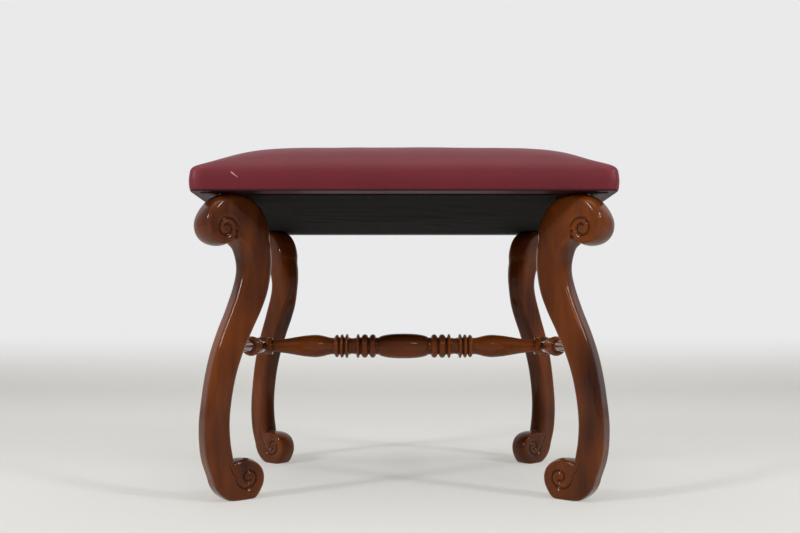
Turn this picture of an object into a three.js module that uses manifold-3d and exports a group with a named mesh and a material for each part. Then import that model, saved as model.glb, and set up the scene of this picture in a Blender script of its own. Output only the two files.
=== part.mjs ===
// A scroll-leg stool: four S-shaped legs, three turned stretchers and an upholstered seat.
// Millimetres, +Z up, +X along the long side, the floor at Z = 0 and the origin under the seat's middle.
import * as THREE from "three";
import { mergeVertices } from "three/addons/utils/BufferGeometryUtils.js";
import Module from "manifold-3d";

const wasm = await Module();
wasm.setup();

// Overall sizes
const SEAT_WIDTH = 566;
const SEAT_DEPTH = 412;
const LEG_HEIGHT = 399.5;
const CLEARANCE = 0.3;
const OVERRUN = 4;

// Legs: each S lies in an upright plane through the leg's base point, and its head turns a little further
const LEG_INSET_X = 57;
const LEG_INSET_Y = 52;
const LEG_PLANE_DEGREES = 39;
const HEAD_TWIST_DEGREES = 9;
const HEAD_TWIST_START_SHARE = 0.61;
const LEG_SWING = 28.4;
const LEG_WIDTH = 45;
const LEG_THICKNESS = 30;
const LEG_CORNER_RADIUS = 8.5;
const GROOVE_RADIUS = 2.6;
const WHORL_OVERLAP = 0.6;
const EYE_RISE = 1.4;
// The eye's dome: radius as a share of the eye's radius, height as a share of EYE_RISE
const EYE_DOME_SHARES = [
  [0, 1],
  [0.55, 0.75],
  [0.9, 0],
];
const HEAD_EYE_OUT = 33;
const HEAD_EYE_DROP = 41;
const HEAD_SCROLL_RADIUS = 29;
const HEAD_CORE_RADIUS = 3;
const HEAD_EYE_RADIUS = 6.6;
const HEAD_WINDING_DEGREES = 411;
const HEAD_FLARE = 30;
const HEAD_RIM_RISE = 4.6;
const FOOT_EYE_IN = 19.5;
const FOOT_EYE_HEIGHT = 30;
const FOOT_SCROLL_RADIUS = 27.5;
const FOOT_CORE_RADIUS = 3;
const FOOT_EYE_RADIUS = 6.4;
const FOOT_WINDING_DEGREES = 400;
const HEEL_FLARE = 12.2;
const TOE_FLARE = 6;
const SCROLL_TURNS = 1.5;
// Where a flare fades out, in quarter turns past the scroll's far side
const HEAD_FLARE_SHARES = [-1.1, 0.7];
const HEAD_RIM_SHARES = [2.36, 3];
const HEEL_FLARE_SHARES = [-1.2, -0.2];
const TOE_FLARE_SHARES = [0, 0.6];
const JOIN_POWER = 2.6;
const JOIN_PEAK_SHARE = 2.6;
const SCROLL_STEPS_PER_TURN = 14;
const SHAFT_STEPS = 14;
// How far round a scroll its outer edges sharpen, and how soon its inner ones do, as shares of a turn
const OUTER_SHARPENS_SHARES = [0.1, 0.3];
const INNER_SHARPENS_SHARES = [-0.25, -0.08];
const EDGE_ROUND_SHARE = 0.45;
const FOOT_JOIN = 16;
// Shaft stations from head to foot: height, middle out from the base point and half width,
// as shares of LEG_HEIGHT, LEG_SWING and LEG_WIDTH
const SHAFT_STATION_SHARES = [
  [0.858, -0.546, 0.611],
  [0.829, -0.739, 0.556],
  [0.771, -0.884, 0.511],
  [0.701, -0.755, 0.506],
  [0.626, -0.408, 0.489],
  [0.551, 0.046, 0.462],
  [0.476, 0.44, 0.429],
  [0.401, 0.715, 0.398],
  [0.325, 0.88, 0.382],
  [0.25, 0.96, 0.386],
  [0.185, 0.903, 0.397],
  [0.13, 0.759, 0.403],
];

// Turned stretchers
const STRETCHER_HEIGHT = 199;
const SIDE_STRETCHER_OFFSET = 1;
const SIDE_TENON_REACH = 3;
const SIDE_NECK_RADIUS = 4.6;
const SIDE_RING_RADIUS = 14.6;
const LONG_BARREL_RADIUS = 18;
const LONG_TENON_RADIUS = 5.6;
const LONG_TENON_LENGTH = 8;
const HOLE_EXTRA_DEPTH = 1;
const TURNED_SIDES = 12;
// Half profiles from the middle outwards, as shares of the half length and of the largest radius
const LONG_PROFILE_SHARES = [
  [0, 1],
  [0.09, 0.96],
  [0.165, 0.8],
  [0.176, 0.7],
  [0.186, 0.7],
  [0.2, 0.93],
  [0.228, 0.93],
  [0.24, 0.72],
  [0.256, 0.93],
  [0.283, 0.93],
  [0.298, 0.7],
  [0.309, 0.96],
  [0.323, 0.96],
  [0.332, 0.68],
  [0.355, 0.64],
  [0.378, 0.68],
  [0.387, 0.96],
  [0.399, 0.96],
  [0.411, 0.72],
  [0.421, 0.93],
  [0.434, 0.93],
  [0.444, 0.72],
  [0.455, 0.9],
  [0.471, 0.9],
  [0.484, 0.67],
  [0.51, 0.68],
  [0.56, 0.84],
  [0.61, 0.905],
  [0.67, 0.86],
  [0.79, 0.65],
  [0.884, 0.6],
  [0.897, 0.78],
  [0.93, 0.8],
  [0.945, 0.6],
];
const SIDE_PROFILE_SHARES = [
  [0, 0.9],
  [0.11, 0.88],
  [0.15, 0.7],
  [0.175, 0.7],
  [0.19, 0.93],
  [0.22, 0.93],
  [0.235, 0.7],
  [0.25, 1],
  [0.28, 1],
  [0.297, 0.68],
  [0.312, 0.88],
  [0.335, 0.88],
  [0.352, 0.52],
  [0.45, 0.56],
  [0.62, 0.46],
  [0.78, 0.34],
];

// Seat frame
const RAIL_HEIGHT = 18;
const RAIL_WIDTH = 50;
const RAIL_INSET = 4.2;
const RAIL_TENON_LENGTH = 20;
const RAIL_TENON_WIDTH = 30;
const RAIL_TENON_THICKNESS = 8;
const BLOCK_LEG = 46;
const BLOCK_HEIGHT = 16;

// Upholstery
const LEATHER_THICKNESS = 1.3;
const LEATHER_SIDE_HEIGHT = 33;
const LEATHER_TURN_UNDER = 40;
const SIDE_BULGE = 1.8;
const SIDE_DRAW_IN = 1.6;
const PLAN_CORNER_RADIUS = 14;
const CROWN_RISE = 51;
const CROWN_POWER_ALONG = 7.2;
const CROWN_POWER_ACROSS = 3.8;
const DUST_COVER_THICKNESS = 0.9;
const DUST_COVER_INSET = 27;
const DUST_COVER_SAG = 5;
const DUST_COVER_FOLD = 1.3;
const DUST_COVER_FOLD_SPACING = 104;
const FOLD_SLANT_SHARE = 0.3;
const SAG_HALF_X_SHARE = 0.36;
const SAG_HALF_Y_SHARE = 0.31;
const DUST_COVER_COLUMNS = 16;
const DUST_COVER_ROWS = 10;
const WEB_WIDTH = 50;
const WEB_THICKNESS = 1.4;
const WEB_END_INSET = 8;
const WEB_CROSSING_MARGIN = 0.9;
const LONG_WEBS = 3;
const CROSS_WEBS = 5;
const HESSIAN_THICKNESS = 0.9;
const PAD_MARGIN = 0.4;
const CORNER_STEPS = 3;
const LONG_EDGE_STEPS = 7;
const SHORT_EDGE_STEPS = 5;
// Stations up the leather's side: height as a share of the side, inset as a share of SIDE_BULGE
const SIDE_STATION_SHARES = [
  [0.05, 0.9],
  [0.42, 0],
  [0.75, 0.5],
];
const CROWN_RING_SHARES = [0.994, 0.97, 0.93, 0.86, 0.74, 0.52, 0.24];
const CROWN_FLAT_SHARE = 0.24;

// Screws: shank radius, head radius, head height and length
const LEG_SCREW_SHANK = 2.4;
const LEG_SCREW_HEAD = 4.6;
const LEG_SCREW_HEAD_HEIGHT = 3.4;
const LEG_SCREW_LENGTH = 62;
const LEG_SCREW_SPACING = 26;
const BLOCK_SCREW_SHANK = 1.9;
const BLOCK_SCREW_HEAD = 3.8;
const BLOCK_SCREW_HEAD_HEIGHT = 2.6;
const BLOCK_SCREW_LENGTH = 44;
const BLOCK_SCREW_PLACE_SHARE = 0.36;
const BLOCK_SCREW_OFFSET = 3.2;
const SCREW_SIDES = 8;

// Places that follow from the sizes above: the legs' base points, the side stretchers, then the heights
// from the legs' tops upwards
const LEG_BASE_X = SEAT_WIDTH / 2 - LEG_INSET_X;
const LEG_BASE_Y = SEAT_DEPTH / 2 - LEG_INSET_Y;
const SIDE_STRETCHER_X = LEG_BASE_X + SIDE_STRETCHER_OFFSET;
const SIDE_STRETCHER_END_Y = LEG_BASE_Y + SIDE_TENON_REACH;
const DUST_COVER_BOTTOM = LEG_HEIGHT + CLEARANCE;
const LEATHER_BOTTOM = DUST_COVER_BOTTOM + DUST_COVER_THICKNESS + CLEARANCE;
const RAIL_BOTTOM = LEATHER_BOTTOM + LEATHER_THICKNESS + CLEARANCE;
const RAIL_TOP = RAIL_BOTTOM + RAIL_HEIGHT;
const LEATHER_SHOULDER = LEATHER_BOTTOM + LEATHER_SIDE_HEIGHT;

// Points of a solid closer together than this share of the clearance are one point
const MERGE_SHARE = 0.001;
const QUARTER = 90;
const FULL = 360;
const radians = THREE.MathUtils.degToRad;

// Materials
function material(color, roughness, metalness = 0) {
  return new THREE.MeshStandardMaterial({ color, roughness, metalness });
}
const mahogany = material(0x6b2f12, 0.25);
const beech = material(0xc9a87c, 0.6);
const leather = material(0x6b1a24, 0.4);
const blackCotton = material(0x22201f, 0.9);
const jute = material(0xa58c62, 0.95);
const hessianCloth = material(0xb29b72, 0.95);
const hair = material(0x4a3a2c, 1);
const steel = material(0xa8a8a4, 0.35, 1);

// Solids: geometry to manifold and back
function solidFrom(geometry) {
  const bare = new THREE.BufferGeometry();
  bare.setAttribute("position", geometry.getAttribute("position").clone());
  if (geometry.index) bare.setIndex(geometry.index.clone());
  const merged = mergeVertices(bare, CLEARANCE * MERGE_SHARE);
  return new wasm.Manifold(
    new wasm.Mesh({
      numProp: 3,
      vertProperties: merged.attributes.position.array,
      triVerts: new Uint32Array(merged.index.array),
    }),
  );
}

function geometryFrom(solid) {
  const mesh = solid.getMesh();
  const places = new Float32Array(mesh.numVert * 3);
  for (let i = 0; i < mesh.numVert; i++) {
    places.set(mesh.vertProperties.subarray(i * mesh.numProp, i * mesh.numProp + 3), i * 3);
  }
  const geometry = new THREE.BufferGeometry();
  geometry.setAttribute("position", new THREE.BufferAttribute(places, 3));
  geometry.setIndex(new THREE.BufferAttribute(new Uint32Array(mesh.triVerts), 1));
  geometry.computeVertexNormals();
  return geometry;
}

// A closed skin over rings of points: each ring joins the next, and a fan of faces closes each end,
// round the end's middle point where one is given
function skinGeometry(rings, startMiddle, endMiddle) {
  const points = rings.flat();
  const sides = rings[0].length;
  const index = [];
  for (let i = 0; i + 1 < rings.length; i++) {
    for (let j = 0; j < sides; j++) {
      const next = (j + 1) % sides;
      const here = i * sides;
      const above = here + sides;
      index.push(here + j, here + next, above + next, here + j, above + next, above + j);
    }
  }
  const closeEnd = (first, middle, outwards) => {
    if (middle) points.push(middle);
    for (let j = middle ? 0 : 1; j + (middle ? 0 : 1) < sides; j++) {
      const from = first + j;
      const to = first + ((j + 1) % sides);
      index.push(middle ? points.length - 1 : first, ...(outwards ? [from, to] : [to, from]));
    }
  };
  closeEnd(0, startMiddle, false);
  closeEnd((rings.length - 1) * sides, endMiddle, true);
  const geometry = new THREE.BufferGeometry().setFromPoints(points);
  geometry.setIndex(index);
  return geometry;
}

function box(width, depth, height, x, y, z) {
  return new THREE.BoxGeometry(width, depth, height).translate(x, y, z);
}

function uprightCylinder(radius, bottom, top, x, y) {
  const cylinder = new THREE.CylinderGeometry(radius, radius, top - bottom, SCREW_SIDES);
  return cylinder.rotateX(Math.PI / 2).translate(x, y, (bottom + top) / 2);
}

// Scrolls of a leg, in the leg's own plane: x out from the base point, y through the thickness, z up
const headScroll = {
  out: HEAD_EYE_OUT,
  height: LEG_HEIGHT - HEAD_EYE_DROP,
  radius: HEAD_SCROLL_RADIUS,
  core: HEAD_CORE_RADIUS,
  eye: HEAD_EYE_RADIUS,
  winding: HEAD_WINDING_DEGREES,
  flares: [
    [HEAD_FLARE, HEAD_FLARE_SHARES],
    [HEAD_RIM_RISE, HEAD_RIM_SHARES],
  ],
  join: 0,
  start: QUARTER,
};
const footScroll = {
  out: -FOOT_EYE_IN,
  height: FOOT_EYE_HEIGHT,
  radius: FOOT_SCROLL_RADIUS,
  core: FOOT_CORE_RADIUS,
  eye: FOOT_EYE_RADIUS,
  winding: FOOT_WINDING_DEGREES,
  flares: [
    [HEEL_FLARE, HEEL_FLARE_SHARES],
    [TOE_FLARE, TOE_FLARE_SHARES],
  ],
  join: FOOT_JOIN,
  start: -QUARTER,
};

// Outer radius of a scroll's band: turned is 0 at the far side of the scroll and -90 where the shaft
// joins it, and the spiral winds in towards its core
function scrollRadius(scroll, turned) {
  const spiral = scroll.core + (scroll.radius - scroll.core) * Math.exp(-turned / scroll.winding);
  const opened = ([flare, [from, to]]) =>
    flare * (1 - THREE.MathUtils.smoothstep(turned / QUARTER, from, to));
  return scroll.flares.map(opened).reduce((radius, flare) => radius + flare, spiral);
}

// The foot's whorl swells where it meets the shaft, which fills the notch between them
function joinSwelling(scroll, turned) {
  const peak = QUARTER * JOIN_PEAK_SHARE;
  const rise = THREE.MathUtils.clamp((turned - QUARTER) / (peak - QUARTER), 0, 1) ** JOIN_POWER;
  return scroll.join * rise * (1 - THREE.MathUtils.smoothstep(turned, peak, QUARTER * 3));
}

// Two points across the band at an angle round the eye, the outer one first
function bandAt(scroll, turned) {
  const outer = scrollRadius(scroll, turned);
  const inner = Math.min(scrollRadius(scroll, turned + FULL), outer) - WHORL_OVERLAP;
  const direction = radians(scroll.start - turned);
  const at = (radius) => ({
    out: scroll.out + radius * Math.cos(direction),
    height: scroll.height + radius * Math.sin(direction),
  });
  return [at(outer + joinSwelling(scroll, turned)), at(inner)];
}

// Corner radius of the band's outer and inner edges as the scroll winds in
function bandCorners(turned) {
  return [OUTER_SHARPENS_SHARES, INNER_SHARPENS_SHARES].map(([from, to]) => {
    const sharpened = THREE.MathUtils.smoothstep(turned / FULL, from, to);
    return THREE.MathUtils.lerp(LEG_CORNER_RADIUS, GROOVE_RADIUS, sharpened);
  });
}

// A station of the leg: its side towards the middle of the stool, its side away, and their corner radii
function scrollStation(scroll, turned, headEnd) {
  const [outer, inner] = bandAt(scroll, turned);
  const [outerCorner, innerCorner] = bandCorners(turned);
  return headEnd
    ? { inward: outer, outward: inner, inwardCorner: outerCorner, outwardCorner: innerCorner }
    : { inward: inner, outward: outer, inwardCorner: innerCorner, outwardCorner: outerCorner };
}

function shaftStations() {
  const head = scrollStation(headScroll, -QUARTER, true);
  const foot = scrollStation(footScroll, -QUARTER, false);
  const asPoint = (station) =>
    new THREE.Vector3(
      (station.inward.out + station.outward.out) / 2,
      (station.outward.out - station.inward.out) / 2,
      station.inward.height,
    );
  const middle = SHAFT_STATION_SHARES.map(
    ([height, out, half]) => new THREE.Vector3(out * LEG_SWING, half * LEG_WIDTH, height * LEG_HEIGHT),
  );
  const stations = [asPoint(head), ...middle, asPoint(foot)];
  const points = new THREE.CatmullRomCurve3(stations, false, "centripetal").getPoints(SHAFT_STEPS);
  return points.slice(1, -1).map((point) => ({
    inward: { out: point.x - point.y, height: point.z },
    outward: { out: point.x + point.y, height: point.z },
    inwardCorner: LEG_CORNER_RADIUS,
    outwardCorner: LEG_CORNER_RADIUS,
  }));
}

// The ring of points round a station's rounded section
function stationRing(station) {
  const { inward, outward } = station;
  const width = Math.hypot(outward.out - inward.out, outward.height - inward.height);
  const across = {
    out: (outward.out - inward.out) / width,
    height: (outward.height - inward.height) / width,
  };
  const half = LEG_THICKNESS / 2;
  const ring = [];
  const corner = (point, direction, radius, side, order) => {
    const reach = Math.min(radius, width * EDGE_ROUND_SHARE);
    for (const step of order) {
      const angle = (step * Math.PI) / 2;
      const back = reach * (1 - Math.cos(angle));
      ring.push(
        new THREE.Vector3(
          point.out - direction * across.out * back,
          side * (half - radius + radius * Math.sin(angle)),
          point.height - direction * across.height * back,
        ),
      );
    }
  };
  corner(outward, 1, station.outwardCorner, -1, [0, 1]);
  corner(inward, -1, station.inwardCorner, -1, [1, 0]);
  corner(inward, -1, station.inwardCorner, 1, [0, 1]);
  corner(outward, 1, station.outwardCorner, 1, [1, 0]);
  return ring;
}

// The low dome at the middle of a scroll
function eyeBoss(scroll) {
  const half = LEG_THICKNESS / 2;
  const dome = EYE_DOME_SHARES.map(([share, rise]) => [share * scroll.eye, half + rise * EYE_RISE]);
  dome.push([scroll.eye, half - GROOVE_RADIUS / 2]);
  const front = dome.map(([radius, y]) => new THREE.Vector2(radius, -y));
  const back = dome.map(([radius, y]) => new THREE.Vector2(radius, y)).reverse();
  return new THREE.LatheGeometry([...front, ...back], SCREW_SIDES).translate(scroll.out, 0, scroll.height);
}

// A whole leg in its own plane: overlapping runs of band, joined, then cut flat at the seat and the floor
function flatLeg() {
  const step = FULL / SCROLL_STEPS_PER_TURN;
  const halfTurn = SCROLL_STEPS_PER_TURN / 2;
  const windings = Math.floor((FULL * SCROLL_TURNS + QUARTER) / step) - 1;
  const head = [];
  const foot = [];
  for (let i = windings; i >= 0; i--) {
    head.push(scrollStation(headScroll, i * step - QUARTER, true));
    foot.unshift(scrollStation(footScroll, i * step - QUARTER, false));
  }
  const stations = [...head, ...shaftStations(), ...foot];
  const rings = stations.map(stationRing);
  const headWhorl = windings - halfTurn * 2;
  const last = rings.length - 1;
  const cuts = [0, headWhorl, headWhorl + halfTurn, last - headWhorl - halfTurn, last - headWhorl, last];
  let solid = solidFrom(eyeBoss(headScroll)).add(solidFrom(eyeBoss(footScroll)));
  for (let i = 0; i + 1 < cuts.length; i++) {
    solid = solid.add(solidFrom(skinGeometry(rings.slice(cuts[i], cuts[i + 1] + 1))));
  }
  const room = box(LEG_HEIGHT, LEG_HEIGHT, LEG_HEIGHT, 0, 0, LEG_HEIGHT / 2);
  const cut = solid.intersect(solidFrom(room));
  return cut.decompose().reduce((most, body) => (body.volume() > most.volume() ? body : most));
}

// From the leg's plane to the floor plan of the quarter with +X and +Y, about the base point
const waist = -LEG_SWING;
function legPlace(out, through, height) {
  const start = LEG_HEIGHT * HEAD_TWIST_START_SHARE;
  const twist = HEAD_TWIST_DEGREES * THREE.MathUtils.smoothstep(height, start, LEG_HEIGHT);
  const plane = radians(LEG_PLANE_DEGREES);
  const turn = radians(LEG_PLANE_DEGREES + twist);
  return new THREE.Vector3(
    waist * Math.cos(plane) + (out - waist) * Math.cos(turn) - through * Math.sin(turn),
    waist * Math.sin(plane) + (out - waist) * Math.sin(turn) + through * Math.cos(turn),
    height,
  );
}

function legGeometry(flat, sideX, sideY) {
  const geometry = geometryFrom(flat);
  const places = geometry.getAttribute("position");
  for (let i = 0; i < places.count; i++) {
    const place = legPlace(places.getX(i), places.getY(i), places.getZ(i));
    places.setXYZ(i, sideX * place.x, sideY * place.y, place.z);
  }
  if (sideX * sideY < 0) {
    const index = geometry.index.array;
    for (let i = 0; i < index.length; i += 3) [index[i + 1], index[i + 2]] = [index[i + 2], index[i + 1]];
  }
  geometry.computeVertexNormals();
  return geometry;
}

// Where the two screws of a leg stand, about its base point
function legScrewPlaces(sideX, sideY) {
  return [HEAD_EYE_OUT - LEG_SCREW_SPACING, HEAD_EYE_OUT].map((out) => {
    const place = legPlace(out, 0, LEG_HEIGHT);
    return [sideX * place.x, sideY * place.y];
  });
}

function legMesh(flat, sideX, sideY) {
  const baseX = sideX * LEG_BASE_X;
  const baseY = sideY * LEG_BASE_Y;
  let solid = solidFrom(legGeometry(flat, sideX, sideY));
  const socketEnd = SIDE_STRETCHER_END_Y + HOLE_EXTRA_DEPTH;
  const socketStart = LEG_BASE_Y / 2;
  const socket = new THREE.CylinderGeometry(
    SIDE_NECK_RADIUS + CLEARANCE,
    SIDE_NECK_RADIUS + CLEARANCE,
    socketEnd - socketStart,
    TURNED_SIDES,
  ).translate(
    sideX * SIDE_STRETCHER_X - baseX,
    (sideY * (socketEnd + socketStart)) / 2 - baseY,
    STRETCHER_HEIGHT,
  );
  solid = solid.subtract(solidFrom(socket));
  for (const [x, y] of legScrewPlaces(sideX, sideY)) {
    const bottom = RAIL_TOP - LEG_SCREW_LENGTH - CLEARANCE;
    const hole = uprightCylinder(LEG_SCREW_SHANK + CLEARANCE, bottom, LEG_HEIGHT + OVERRUN, x, y);
    solid = solid.subtract(solidFrom(hole));
  }
  const mesh = new THREE.Mesh(geometryFrom(solid), mahogany);
  mesh.position.set(baseX, baseY, 0);
  return mesh;
}

// A turned piece about the Y axis from a half profile that is mirrored at its middle
function turnedGeometry(halfLength, radius, shares, endRadius, endLength) {
  const half = shares.map(([place, share]) => [place * halfLength, share * radius]);
  half.push([halfLength - endLength, endRadius]);
  half.push([halfLength, endRadius]);
  const mirrored = half.slice(1).reverse().map(([place, r]) => [-place, r]);
  const points = [...mirrored, ...half].map(([place, r]) => new THREE.Vector2(r, place));
  points.unshift(new THREE.Vector2(0, -halfLength));
  points.push(new THREE.Vector2(0, halfLength));
  return new THREE.LatheGeometry(points, TURNED_SIDES);
}

const sideBarrelRadius = SIDE_RING_RADIUS * SIDE_PROFILE_SHARES[0][1];

function longStretcherMesh() {
  const shoulder = SIDE_STRETCHER_X - sideBarrelRadius - CLEARANCE;
  const halfLength = shoulder + LONG_TENON_LENGTH;
  const geometry = turnedGeometry(
    halfLength,
    LONG_BARREL_RADIUS,
    LONG_PROFILE_SHARES,
    LONG_TENON_RADIUS,
    LONG_TENON_LENGTH + OVERRUN,
  );
  const mesh = new THREE.Mesh(geometry.rotateZ(-Math.PI / 2), mahogany);
  mesh.position.set(0, 0, STRETCHER_HEIGHT);
  return mesh;
}

function sideStretcherMesh(side) {
  const whole = turnedGeometry(
    SIDE_STRETCHER_END_Y,
    SIDE_RING_RADIUS,
    SIDE_PROFILE_SHARES,
    SIDE_NECK_RADIUS,
    LEG_THICKNESS,
  );
  const depth = sideBarrelRadius + CLEARANCE - LONG_TENON_LENGTH - HOLE_EXTRA_DEPTH;
  const reach = SIDE_RING_RADIUS + OVERRUN;
  const hole = new THREE.CylinderGeometry(
    LONG_TENON_RADIUS + CLEARANCE,
    LONG_TENON_RADIUS + CLEARANCE,
    reach - depth,
    TURNED_SIDES,
  )
    .rotateZ(Math.PI / 2)
    .translate((-side * (reach + depth)) / 2, 0, 0);
  const mesh = new THREE.Mesh(geometryFrom(solidFrom(whole).subtract(solidFrom(hole))), mahogany);
  mesh.position.set(side * SIDE_STRETCHER_X, 0, STRETCHER_HEIGHT);
  return mesh;
}

// Seat frame: the front and back rails run the full width, and the side rails are tenoned into them
const frameHalfX = SEAT_WIDTH / 2 - RAIL_INSET;
const frameHalfY = SEAT_DEPTH / 2 - RAIL_INSET;
const railMiddle = RAIL_BOTTOM + RAIL_HEIGHT / 2;
const sideRailX = frameHalfX - RAIL_WIDTH / 2;
const longRailY = frameHalfY - RAIL_WIDTH / 2;
const innerHalfX = frameHalfX - RAIL_WIDTH;
const innerHalfY = frameHalfY - RAIL_WIDTH;

function legScrewHoles(sideX, sideY) {
  return legScrewPlaces(sideX, sideY).map(([x, y]) =>
    uprightCylinder(
      LEG_SCREW_SHANK + CLEARANCE,
      DUST_COVER_BOTTOM - DUST_COVER_SAG - OVERRUN,
      RAIL_TOP + CLEARANCE,
      sideX * LEG_BASE_X + x,
      sideY * LEG_BASE_Y + y,
    ),
  );
}

function headRecesses(sideX, sideY) {
  return legScrewPlaces(sideX, sideY).map(([x, y]) =>
    uprightCylinder(
      LEG_SCREW_HEAD + CLEARANCE,
      RAIL_TOP - LEG_SCREW_HEAD_HEIGHT - CLEARANCE,
      RAIL_TOP + CLEARANCE,
      sideX * LEG_BASE_X + x,
      sideY * LEG_BASE_Y + y,
    ),
  );
}

function cutWith(solid, cutters) {
  return cutters.reduce((left, cutter) => left.subtract(solidFrom(cutter)), solid);
}

const corners = [
  { name: "front_left", x: -1, y: -1 },
  { name: "front_right", x: 1, y: -1 },
  { name: "back_left", x: -1, y: 1 },
  { name: "back_right", x: 1, y: 1 },
];

function longRailMesh(side) {
  let solid = solidFrom(box(frameHalfX * 2, RAIL_WIDTH, RAIL_HEIGHT, 0, side * longRailY, railMiddle));
  const heights = [RAIL_BOTTOM - OVERRUN, RAIL_TOP + OVERRUN];
  const outline = heights.map((height) => planRing(RAIL_INSET, 1, () => height));
  solid = solid.intersect(solidFrom(skinGeometry(outline)));
  for (const end of [-1, 1]) {
    const length = RAIL_TENON_LENGTH + OVERRUN;
    const mortise = box(
      RAIL_TENON_WIDTH + CLEARANCE * 2,
      length,
      RAIL_TENON_THICKNESS + CLEARANCE * 2,
      end * sideRailX,
      side * (innerHalfY + RAIL_TENON_LENGTH + CLEARANCE - length / 2),
      railMiddle,
    );
    solid = cutWith(solid, [mortise, ...legScrewHoles(end, side), ...headRecesses(end, side)]);
    solid = cutWith(solid, blockScrewHoles(end, side).slice(0, 1));
  }
  return new THREE.Mesh(geometryFrom(solid), beech);
}

function sideRailMesh(side) {
  const length = (innerHalfY - CLEARANCE) * 2;
  let solid = solidFrom(box(RAIL_WIDTH, length, RAIL_HEIGHT, side * sideRailX, 0, railMiddle));
  const tenons = box(
    RAIL_TENON_WIDTH,
    length + (RAIL_TENON_LENGTH + CLEARANCE) * 2,
    RAIL_TENON_THICKNESS,
    side * sideRailX,
    0,
    railMiddle,
  );
  solid = solid.add(solidFrom(tenons));
  for (const end of [-1, 1]) solid = cutWith(solid, blockScrewHoles(side, end).slice(1));
  return new THREE.Mesh(geometryFrom(solid), beech);
}

// Corner blocks: three-cornered prisms glued and screwed into the frame's inner corners
const blockBottom = RAIL_BOTTOM + (RAIL_HEIGHT - BLOCK_HEIGHT) / 2;
const blockMiddle = blockBottom + BLOCK_HEIGHT / 2;

// A screw goes through the block into each rail, along Y into the long rail and along X into the side rail
function blockScrewLines(sideX, sideY) {
  const near = BLOCK_LEG * BLOCK_SCREW_PLACE_SHARE;
  const thickness = BLOCK_LEG - near;
  const high = blockMiddle + BLOCK_SCREW_OFFSET;
  const low = blockMiddle - BLOCK_SCREW_OFFSET;
  return [
    { x: innerHalfX - near, y: innerHalfY - thickness, along: "y", height: high },
    { x: innerHalfX - thickness, y: innerHalfY - near, along: "x", height: low },
  ].map((line) => ({ ...line, x: line.x * sideX, y: line.y * sideY, sideX, sideY }));
}

// A cylinder along a block screw's line, between two distances from the block's slanted face
function alongScrewLine(line, radius, from, to) {
  const cylinder = new THREE.CylinderGeometry(radius, radius, to - from, SCREW_SIDES);
  const middle = (from + to) / 2;
  if (line.along === "y") return cylinder.translate(line.x, line.y + line.sideY * middle, line.height);
  return cylinder.rotateZ(Math.PI / 2).translate(line.x + line.sideX * middle, line.y, line.height);
}

function blockScrewHoles(sideX, sideY) {
  return blockScrewLines(sideX, sideY).map((line) =>
    alongScrewLine(line, BLOCK_SCREW_SHANK + CLEARANCE, 0, BLOCK_SCREW_LENGTH + CLEARANCE),
  );
}

function cornerBlockMesh({ x, y }) {
  const outline = new THREE.Shape();
  const cornerX = innerHalfX - CLEARANCE;
  const cornerY = innerHalfY - CLEARANCE * 2;
  outline.moveTo(x * cornerX, y * cornerY);
  outline.lineTo(x * (cornerX - BLOCK_LEG), y * cornerY);
  outline.lineTo(x * cornerX, y * (cornerY - BLOCK_LEG));
  outline.closePath();
  const prism = new THREE.ExtrudeGeometry(outline, { depth: BLOCK_HEIGHT, bevelEnabled: false });
  let solid = solidFrom(prism.translate(0, 0, blockBottom));
  for (const line of blockScrewLines(x, y)) {
    const shank = BLOCK_SCREW_SHANK + CLEARANCE;
    const head = BLOCK_SCREW_HEAD + CLEARANCE;
    const shoulder = BLOCK_SCREW_HEAD_HEIGHT + CLEARANCE + BLOCK_SCREW_HEAD;
    solid = cutWith(solid, [
      alongScrewLine(line, shank, -BLOCK_LEG, BLOCK_SCREW_LENGTH),
      alongScrewLine(line, head, -BLOCK_LEG, shoulder),
    ]);
  }
  return new THREE.Mesh(geometryFrom(solid), beech);
}

// A countersunk screw along Y, its head's flat at 0 and its point at its length
function screwGeometry(shank, head, headHeight, length) {
  const points = [
    new THREE.Vector2(0, 0),
    new THREE.Vector2(head, 0),
    new THREE.Vector2(shank, headHeight),
    new THREE.Vector2(shank, length - shank * 2),
    new THREE.Vector2(0, length),
  ];
  return new THREE.LatheGeometry(points, SCREW_SIDES);
}

function blockScrewMesh(line) {
  const geometry = screwGeometry(
    BLOCK_SCREW_SHANK,
    BLOCK_SCREW_HEAD,
    BLOCK_SCREW_HEAD_HEIGHT,
    BLOCK_SCREW_LENGTH - BLOCK_SCREW_HEAD,
  );
  const mesh = new THREE.Mesh(geometry, steel);
  mesh.position.set(line.x, line.y, line.height);
  if (line.along === "y") {
    mesh.position.y += line.sideY * BLOCK_SCREW_HEAD;
    mesh.rotation.z = line.sideY > 0 ? 0 : Math.PI;
  } else {
    mesh.position.x += line.sideX * BLOCK_SCREW_HEAD;
    mesh.rotation.z = (-line.sideX * Math.PI) / 2;
  }
  return mesh;
}

function legScrewMesh([x, y], corner) {
  const geometry = screwGeometry(LEG_SCREW_SHANK, LEG_SCREW_HEAD, LEG_SCREW_HEAD_HEIGHT, LEG_SCREW_LENGTH);
  const mesh = new THREE.Mesh(geometry, steel);
  mesh.rotation.x = -Math.PI / 2;
  mesh.position.set(corner.x * LEG_BASE_X + x, corner.y * LEG_BASE_Y + y, RAIL_TOP - CLEARANCE / 2);
  return mesh;
}

// Webbing, woven over and under, tacked along the top of the frame
const WEB_LOW = RAIL_TOP + CLEARANCE;
const WEB_STEP_UP = WEB_THICKNESS + CLEARANCE;
const HESSIAN_BOTTOM = WEB_LOW + WEB_THICKNESS + WEB_STEP_UP + CLEARANCE;
const PAD_BOTTOM = HESSIAN_BOTTOM + HESSIAN_THICKNESS + CLEARANCE;

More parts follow.
